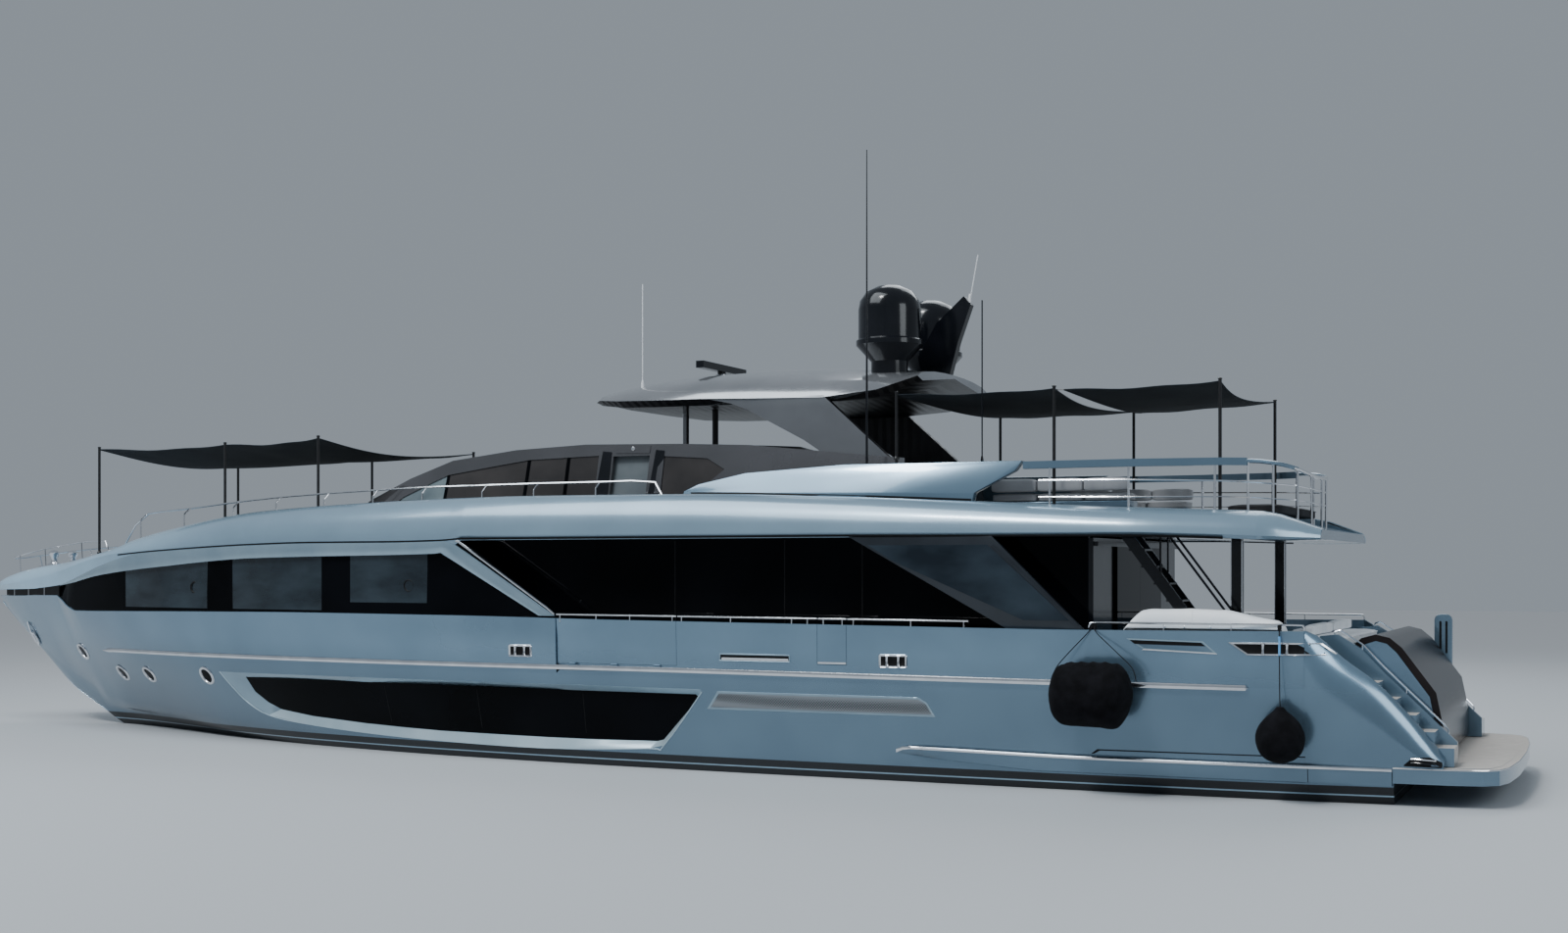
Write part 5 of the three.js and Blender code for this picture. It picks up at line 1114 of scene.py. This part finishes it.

# Stern cleats: two bars, one black and one of polished steel, across a dark panel low in each
# quarter wing, which is painted shade of a recess there.
recess = rounded([(15.24, 0.60), (15.38, 0.73), (15.62, 0.74), (15.79, 0.67), (15.79, 0.59)], 0.03)
panels("mooring_recess_shade", recess, seal_and_shade, "hull_paint", proud=0.006, thick=0.01, every=0.1, surface=quarter)
for k, (finish, dz) in enumerate(((black, 0), (chrome, 0.055))):
    horn = tube([(15.36, -3.385, 0.655 + dz), (15.40, -3.40, 0.66 + dz), (15.66, -3.385, 0.645 + dz),
                 (15.70, -3.37, 0.64 + dz)], 0.012, 10)
    pair(horn, "stern_cleat_%d" % k, finish, "stainless")

# Edge strip of the bathing platform: a round bar of polished steel, bent round the platform's plan
# and screwed on just under its top edge.
corners = [corner.co.copy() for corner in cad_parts["swim_platform"].data.vertices]
top = max(corner.z for corner in corners)
plan = [corner.xy for corner in corners if corner.z > top - 0.03]
ring = {(round(plan[k].x, 3), round(plan[k].y, 3)) for k in convex_hull_2d(plan)}
edge_line = sorted(ring, key=lambda place: math.atan2(place[1], place[0] - 15.0))
strip = tube([(x, y, top - 0.016) for x, y in edge_line], 0.011, 8)
finished(strip, "platform_edge_strip", chrome, "stainless")

# Mooring ports: a polished frame in each quarter, across the joint of the side and the quarter wing,
# with two upright rollers behind it.
# The port's black field is painted shade in its opening.
panels("mooring_port", [(12.74, 2.38), (14.08, 2.385), (14.32, 2.205), (13.02, 2.19)], [chrome, seal_and_shade],
       "stainless", frame_width=0.022, proud=0.014, sunk=0.012, thick=0.014, every=0.2,
       surface=lambda x, z: side(x, z) if x < SIDE_END else quarter(x, z))
for k, x in enumerate((13.25, 13.60)):
    roller = spun([(0, -0.08), (0.030, -0.08), (0.020, -0.03), (0.020, 0.04), (0.032, 0.08), (0, 0.085)],
                  (x, side(x, 2.28) - 0.008, 2.285), 20)
    pair(roller, "mooring_roller_%d" % k, chrome, "stainless")

# Stairs from the cockpit to the fly deck: a black coated steel frame with treads, bolted to both
# decks.
dressed("cockpit_stairs", "cockpit_stairs_frame", [black, teak], "black_coating")

# Handrails on the coachroof and in the bow, of stainless steel tube welded at its posts and
# polished, and the windlass in the same finish.
for node_name in ("side_rail_port", "side_rail_starboard", "bow_rail", "windlass"):
    dressed(node_name, node_name + "_tube", chrome, "stainless", 50)

# Running gear: propellers, shafts, struts and rudders of cast bronze; fins faired and painted with
# black bottom paint.
bronze = mottled("cast_bronze", (0.42, 0.27, 0.11), 0.32, (0.30, 0.19, 0.08), (0.48, 0.32, 0.14),
                 6.0, 60.0, 0.001, metal=1.0)
bottom_paint = mottled("bottom_paint", (0.012, 0.013, 0.015), 0.7, (0.010, 0.011, 0.013),
                       (0.022, 0.023, 0.026), 4.0, 30.0, 0.001)
for word in SIDES:
    for part, finish, slot, body in (("propeller_", bronze, "bronze", "propeller_" + word),
                                     ("strut_", bronze, "bronze", "yacht"),
                                     ("rudder_", bronze, "bronze", "rudder_" + word),
                                     ("stabiliser_", bottom_paint, "antifouling", "stabiliser_" + word)):
        dressed(part + word, part + "casting_" + word, finish, slot, 40, body=body)

# Awnings: charcoal mesh cloth with a hemmed edge, stretched between the heads of black carbon poles
# that stand in sockets in the deck. The forward corners of the aft one are tied to the poles ahead.
awning_cloth = mottled("awning_mesh", (0.006, 0.008, 0.010), 0.9, (0.010, 0.014, 0.018),
                       (0.018, 0.023, 0.028), 1.5, 160.0, 0.003, specular=0.2)
carbon = mottled("carbon_pole", (0.006, 0.006, 0.007), 0.35, (0.004, 0.004, 0.005), (0.010, 0.010, 0.011),
                 20.0, 80.0, 0.0005)


def awning_point(rows, sag, hollow, s, v):
    """A point of the cloth: s runs from row to row, v from the port edge to the starboard edge."""
    i = min(int(s), len(rows) - 2)
    t = s - i
    bow = math.sin(math.pi * t)
    ends = []
    for k in (0, 1):
        a, b = Vector(rows[i][k]), Vector(rows[i + 1][k])
        p = a.lerp(b, t)
        ends.append(Vector((p.x, p.y - math.copysign(hollow * bow, a.y), p.z - sag * bow / 4)))
    pull = hollow * (1 - 2 * s / (len(rows) - 1))
    p = ends[0].lerp(ends[1], v)
    belly = math.sin(math.pi * v)
    return Vector((p.x + pull * belly, p.y, p.z - sag * belly))


def awning_grid(rows, sag, hollow):
    """The cloth's points, with soft creases that run from the corners and along the edges."""
    along, across = 14 * (len(rows) - 1), 22
    grid = [[awning_point(rows, sag, hollow, (len(rows) - 1) * i / along, j / across)
             for j in range(across + 1)] for i in range(along + 1)]
    for i, row in enumerate(grid):
        for j, p in enumerate(row):
            edge = min(j, across - j) / across
            p.z += 0.010 * math.sin(i * 0.9 + j * 0.35) * math.exp(-edge * 9)
    return grid


POLE_AHEAD = 9.76                # where the poles stand that the aft awning's forward corners are tied to
AWNINGS = (                      # name, sag, hollow of the edges, heights of the poles' feet, pole heads
    ("foredeck_awning", 0.18, 0.16, None,                   # its poles stand on the deck band
     [[(-11.74, -1.72, 6.06), (-11.05, 1.85, 5.84)], [(-7.94, -2.10, 6.03), (-7.45, 2.12, 5.94)],
      [(-5.40, -2.30, 6.08), (-4.85, 2.30, 6.00)]]),
    ("fly_awning_forward", 0.10, 0.14, (5.22, 4.24),
     [[(7.01, -2.62, 6.43), (7.14, 2.62, 6.42)], [(POLE_AHEAD, -2.64, 6.42), (POLE_AHEAD, 2.64, 6.44)]]),
    ("fly_awning_aft", 0.10, 0.14, (None, 4.24),
     [[(9.92, -2.62, 6.40), (9.92, 2.62, 6.42)], [(12.38, -2.35, 6.46), (12.42, 2.35, 6.50)]]))
for node_name, sag, hollow, feet, rows in AWNINGS:
    grid = awning_grid(rows, sag, hollow)
    hem = welded([tube(edge, 0.012, 6) for edge in (
        grid[0], grid[-1], [row[0] for row in grid], [row[-1] for row in grid])])
    finished(hem, node_name + "_hem", awning_cloth, "awning_cloth")
    cloth = shelled(turned(drawn(grid), UPWARD), 0.006, 0.003)
    finished(smooth(cloth, 60), node_name + "_cloth", awning_cloth, "awning_cloth", node_name)
    poles = []
    for k, row in enumerate(rows):
        for x, y, z in row:
            foot = feet[k] if feet else fair(BAND, x, CROWN_Z) - 0.1
            if foot is None:                # tied to the pole ahead
                poles.append(tube([(x, y, z), (x - 0.08, y, z + 0.004), (POLE_AHEAD, y, z + 0.01)], 0.007, 6))
                continue
            poles.append(tube([(x, y, foot), (x, y, z + 0.04)], 0.028, 12))
            poles.append(spun([(0, 0.035), (0.034, 0.035), (0.038, 0.050), (0.020, 0.062), (0, 0.064)],
                              (x, y, z), 14))
            if k == 0 or not feet or k == len(rows) - 1:
                poles.append(spun([(0.026, 0), (0.050, 0.0), (0.046, 0.03), (0.032, 0.05), (0.026, 0.05),
                                   (0.026, 0)], (x, y, foot + (0.12 if feet else 0.1)), 16))
    finished(welded(poles), node_name + "_poles", carbon, "awning_cloth")

# Settee cover: one fitted cover of white coated cloth over the settee along the port bulwark. It is
# pulled down over the back rest with press studs, and its aft end hangs to a point.
COVER_LINE = [
    (11.07, 2.51), (11.13, 2.60), (11.22, 2.72), (11.37, 2.845), (11.50, 2.868), (12.10, 2.872),
    (12.60, 2.858), (12.90, 2.80), (13.20, 2.735), (13.40, 2.70), (13.49, 2.62), (13.51, 2.53),
]
cover = mottled("cover_cloth", (0.93, 0.95, 0.98), 0.7, (0.86, 0.90, 0.94), (0.94, 0.96, 0.98),
                2.0, 120.0, 0.002)
rows = []
for x in marks(11.07, 13.51, 0.07, *[row[0] for row in COVER_LINE]):
    top = fair(COVER_LINE, x, 1)
    fold = 0.008 * math.sin(x * 9.0) + 0.005 * math.sin(x * 23.0)
    low = min(top - 0.02, 2.575)
    share = (top - low) / 0.3              # how much of the back rest's height the cover has here
    section = [(-3.415, low), (-3.412 + fold * 0.4, low + (top - low) * 0.5), (-3.385, top - 0.07 * share),
               (-3.33, top - 0.012), (-3.24, top + fold * 0.3), (-3.08, top - 0.006 + fold),
               (-2.93, top - 0.004), (-2.86, top - 0.03), (-2.815, top - 0.10 * share),
               (-2.80 + fold, min(top - 0.11, 2.3)), (-2.795, 1.95 + fold), (-2.80, 1.70)]
    rows.append([Vector((x, y, z)) for y, z in section])
cloth = shelled(turned(drawn(rows), UPWARD), 0.010, 0.003)
applied(cloth, 'SUBSURF', levels=1, render_levels=1)
studs = [spun([(0, 0), (0.010, 0), (0.012, 0.004), (0.006, 0.008), (0, 0.008)], (x, -3.417, 2.60), 12, 'Y')
         for x in (11.75, 12.05, 12.45, 12.95)]
finished(welded(studs), "settee_cover_studs", chrome, "stainless")
seam_line = tube([(12.16, y - 0.002, z + 0.002) for _, y, z in rows[len(rows) // 2][:9]], 0.004, 6)
finished(seam_line, "settee_cover_seam", cover, "cover_cloth")
finished(smooth(cloth, 60), "settee_cover", cover, "cover_cloth", "covered_settee")

# Cushions: foam in grey, white or black outdoor cloth, sewn with piping, on low moulded bases. There
# are two sofas and two pads on the fly deck, and sunpads with rolls on the garage.
grey_cloth, tree, shader = material("seat_cloth", (0.30, 0.31, 0.33), 0.85)
mottle(tree, shader, (0.26, 0.27, 0.29), (0.35, 0.36, 0.38), 2.0, 260.0, 0.0015)
shader.inputs["Sheen Weight"].default_value = 0.2
white_cloth, tree, shader = material("sunpad_cloth", (0.86, 0.88, 0.90), 0.85)
mottle(tree, shader, (0.78, 0.81, 0.84), (0.88, 0.90, 0.92), 2.0, 260.0, 0.0015)
shader.inputs["Sheen Weight"].default_value = 0.2
dark_cloth = mottled("dark_cloth", (0.012, 0.012, 0.014), 0.9, (0.009, 0.009, 0.011), (0.018, 0.018, 0.020),
                     2.0, 260.0, 0.0015)


def block(low, high, cuts=0):
    """A box between two corners, with its faces cut up evenly; returns it, its middle and its half size."""
    bpy.ops.object.select_all(action='DESELECT')
    bpy.ops.mesh.primitive_cube_add(size=2)
    piece = bpy.context.object
    if cuts:
        bpy.ops.object.mode_set(mode='EDIT')
        bpy.ops.mesh.subdivide(number_cuts=cuts)
        bpy.ops.object.mode_set(mode='OBJECT')
    return piece, (Vector(low) + Vector(high)) / 2, (Vector(high) - Vector(low)) / 2


ROUNDNESS = 9                    # the higher, the squarer a cushion's edges
CHANNEL_DEPTH, CHANNEL_WIDTH = 0.022, 0.018


def pad(name, low, high, finish, crown=0.03, channels=(), slot="cover_cloth"):
    """A crowned cushion between two corners: its sides pull in between its corners, it lies flat
    below, and sewn channels cross it at the given x or y, written as ("x", place)."""
    piece, middle, half = block(low, high, 14)
    pull = 0.025 * min(half.x, half.y)
    for corner in piece.data.vertices:
        u, v, w = corner.co
        edge = sum(abs(one) ** ROUNDNESS for one in (u, v, w)) ** (1 / ROUNDNESS)
        u, v, w = u / edge, v / edge, w / edge
        x = u * (half.x - pull * (1 - v * v) * (abs(u) > 0.8))
        y = v * (half.y - pull * (1 - u * u) * (abs(v) > 0.8))
        z = w * half.z
        if w > 0:
            z += crown * (1 - u ** 4) * (1 - v ** 4) * w
            for axis, at in channels:
                off = (middle.x + x - at) if axis == "x" else (middle.y + y - at)
                z -= CHANNEL_DEPTH * math.exp(-(off / CHANNEL_WIDTH) ** 2) * w
        corner.co = middle + Vector((x, y, z))
    applied(piece, 'SUBSURF', levels=1, render_levels=1)
    reach = Vector((half.x - 0.012, half.y - 0.012, half.z * 0.72))
    rim = ((-0.93, -1), (0.93, -1), (1, -0.93), (1, 0.93), (0.93, 1), (-0.93, 1), (-1, 0.93), (-1, -0.93),
           (-0.93, -1))
    piping = tube([middle + reach * Vector((a, b, 1)) for a, b in rim], 0.006, 6)
    piece = finished(smooth(welded([piece, piping]), 50), name, finish, slot)


def base(name, low, high, finish, slot="hull_paint"):
    """A moulded base: its edges are rounded and a recess runs round its foot."""
    piece, middle, half = block(low, high)
    for corner in piece.data.vertices:
        corner.co = [middle[k] + corner.co[k] * half[k] for k in range(3)]
    divided(piece, ("z", low[2] + 0.08))
    for corner in piece.data.vertices:
        if corner.co.z < low[2] + 0.01:
            corner.co.x += math.copysign(0.035, middle.x - corner.co.x)
            corner.co.y += math.copysign(0.035, middle.y - corner.co.y)
    applied(piece, 'BEVEL', width=0.025, segments=3, limit_method='ANGLE', angle_limit=math.radians(30))
    finished(smooth(piece, 40), name, finish, slot)


FLY = 4.362                      # the fly deck's top
LID = 2.283                      # the garage lid's top
for word, sign in zip(SIDES, (-1, 1)):
    outer, inner = sorted((sign * 2.42, sign * 1.86))
    back_outer, back_inner = sorted((sign * 2.44, sign * 2.28))
    base("fly_sofa_base_" + word, (8.60, outer, FLY), (10.95, inner, FLY + 0.24), hull_paint)
    for k, (x0, x1) in enumerate(((8.62, 9.39), (9.41, 10.17), (10.19, 10.93))):
        pad("fly_seat_%s_%d" % (word, k), (x0, outer + 0.01, FLY + 0.243), (x1, inner - 0.01, FLY + 0.36),
            grey_cloth, 0.02)
        pad("fly_back_%s_%d" % (word, k), (x0, back_outer, FLY + 0.40), (x1, back_inner, FLY + 0.60),
            grey_cloth, 0.015)
    for name, x0, x1, ends, z0, z1, finish, crown, channels in (
            ("aft_pad_", 12.35, 13.25, (0.06, 1.80), FLY + 0.003, FLY + 0.15, dark_cloth, 0.03,
             [("x", 12.80)]),
            ("sunpad_", 13.63, 14.24, (0.03, 2.22), LID, LID + 0.137, white_cloth, 0.03,
             [("y", sign * 0.75), ("y", sign * 1.48)]),
            ("sunpad_roll_", 13.64, 13.80, (0.10, 2.16), LID + 0.172, LID + 0.317, white_cloth, 0.02, ())):
        y0, y1 = sorted(sign * end for end in ends)
        pad(name + word, (x0, y0, z0), (x1, y1, z1), finish, crown, channels)

# Helm on the fly deck: a moulded console with a dark dashboard and a wheel of polished steel tube,
# and a seat with its back rest on a base of its own.
base("fly_helm", (4.40, -0.95, FLY), (4.95, 0.95, FLY + 0.62), hull_paint)
base("fly_helm_dash", (4.44, -0.86, FLY + 0.622), (4.88, 0.86, FLY + 0.70), black, "black_coating")
HUB_X, HUB_Y, HUB_Z = 5.03, -0.45, FLY + 0.55
wheel = [spun([(0.165, -0.010), (0.175, 0.0), (0.165, 0.010), (0.155, 0.0), (0.165, -0.010)],
              (HUB_X, HUB_Y, HUB_Z), 28, 'X')]
for k in range(3):
    up, out = on_circle(0.16, k, 3)
    wheel.append(tube([(HUB_X, HUB_Y, HUB_Z), (HUB_X, HUB_Y + out, HUB_Z + up)], 0.008, 8))
wheel.append(tube([(4.94, HUB_Y, HUB_Z), (5.04, HUB_Y, HUB_Z)], 0.022, 12))
finished(welded(wheel), "fly_helm_wheel", chrome, "stainless")
base("helm_seat_base", (5.60, -1.10, FLY), (6.20, 0.20, FLY + 0.34), hull_paint)
pad("helm_seat", (5.60, -1.10, FLY + 0.343), (6.14, 0.20, FLY + 0.47), grey_cloth, 0.025, [("y", HUB_Y)])
pad("helm_seat_back", (6.10, -1.08, FLY + 0.50), (6.24, 0.18, FLY + 0.86), grey_cloth, 0.012, [("y", HUB_Y)])

# Cockpit: a sofa of three white cushions and backs across the aft end, and a teak table with a
# rounded edge on one turned steel foot.
FLOOR = 1.674
base("cockpit_sofa_base", (12.86, -1.70, FLOOR), (13.52, 1.70, FLOOR + 0.28), hull_paint)
for k, (y0, y1) in enumerate(((-1.69, -0.58), (-0.56, 0.56), (0.58, 1.69))):
    pad("cockpit_seat_%d" % k, (12.84, y0, FLOOR + 0.283), (13.38, y1, FLOOR + 0.42), white_cloth, 0.025)
    pad("cockpit_back_%d" % k, (13.36, y0, FLOOR + 0.44), (13.52, y1, FLOOR + 0.84), white_cloth, 0.015)
table = cornered(rounded(box(11.55, 12.35, -0.95, 0.95), 0.18, 6))
for corner in table.data.vertices:
    corner.co = (corner.co.x, corner.co.z, 2.40)
applied(table, 'SOLIDIFY', thickness=0.04, offset=1)
applied(table, 'BEVEL', width=0.010, segments=3, limit_method='ANGLE')
finished(outward(table), "cockpit_table_top", teak, "teak")
foot = spun([(0, 0), (0.22, 0), (0.22, 0.012), (0.06, 0.03), (0.045, 0.10), (0.045, 0.66), (0.16, 0.70),
             (0.16, 0.724), (0, 0.724)], (11.95, 0, FLOOR), 32)
finished(foot, "cockpit_table_foot", chrome, "stainless")

# Whip antennas: thin glass-fibre rods in sockets, a white one on the hardtop, another beside the
# mast, and a black one on the port side screen of the fly deck.
white_rod = mottled("antenna_white", (0.75, 0.76, 0.78), 0.35, (0.70, 0.71, 0.73), (0.80, 0.81, 0.83),
                    6.0, 30.0, 0.0005)
for k, (foot, tip, finish) in enumerate((((1.50, -1.50, 6.86), (1.50, -1.50, 8.81), white_rod),
                                         ((7.42, -0.02, 8.30), (7.57, 0.0, 9.16), white_rod),
                                         ((8.54, -2.66, 5.20), (8.54, -2.66, 7.93), black))):
    socket = spun([(0, 0), (0.030, 0), (0.026, 0.10), (0.014, 0.16), (0, 0.16)], foot, 14)
    finished(welded([tube([foot, tip], 0.012, 8), socket]), "whip_%d" % k, finish, "black_coating")


# Bow: the slot under the deck's edge, closed by a moulded panel that is black as painted shade of the
# slot, with upright posts of polished steel in front of it.
def slot_y(x):
    """The y of the slot's outer face: halfway between the bulwark's top and the deck band's lip."""
    return -(fair(STATIONS, x, TOP_Y) + fair(BAND, x, LIP_Y)) / 2


rows = []
for x in marks(-15.90, -13.10, 0.2):
    y = slot_y(x) - 0.004
    low, high = fair(STATIONS, x, TOP_Z) + 0.012, fair(BAND, x, LIP_Z) + 0.004
    rows.append([(x, y + 0.05, low), (x, y, low), (x, y - 0.004, (low + high) / 2), (x, y, high),
                 (x, y + 0.05, high)])
pair(trim(rows), "bow_slot", seal_and_shade, "hull_paint")
for k, x in enumerate((-15.40, -14.60, -13.80)):
    y = slot_y(x) - 0.008
    bar = tube([(x, y, fair(STATIONS, x, TOP_Z)), (x, y, fair(BAND, x, LIP_Z))], 0.012, 12)
    pair(bar, "bow_slot_post_%d" % k, chrome, "stainless")

# Anchor: cast steel with a polished finish, its shank drawn up and its fluke flat against a framed
# pocket in the side, whose black field is painted shade.
pocket = [(-15.41, 2.34), (-15.01, 2.22), (-15.04, 1.76), (-15.16, 1.68), (-15.35, 1.86), (-15.55, 2.12)]
panels("anchor_pocket", pocket, [silver, seal_and_shade], "hull_paint", frame_width=0.03, proud=0.006, sunk=0.012,
       every=0.12)
fluke = laid([(-15.34, 2.06), (-15.26, 1.90), (-15.16, 2.05), (-15.08, 1.88), (-15.10, 1.78), (-15.19, 1.70),
              (-15.31, 1.84), (-15.40, 1.98)], proud=0.055, thick=0.03, every=0.1)
applied(fluke, 'BEVEL', width=0.006, segments=2, limit_method='ANGLE')
shank = tube([(-15.27, side(-15.27, 2.25) - 0.03, 2.27), (-15.24, side(-15.24, 2.1) - 0.06, 2.10),
              (-15.20, side(-15.20, 1.8) - 0.07, 1.80)], 0.024, 12)
pair(welded([fluke, shank]), "bow_anchor", chrome, "stainless")
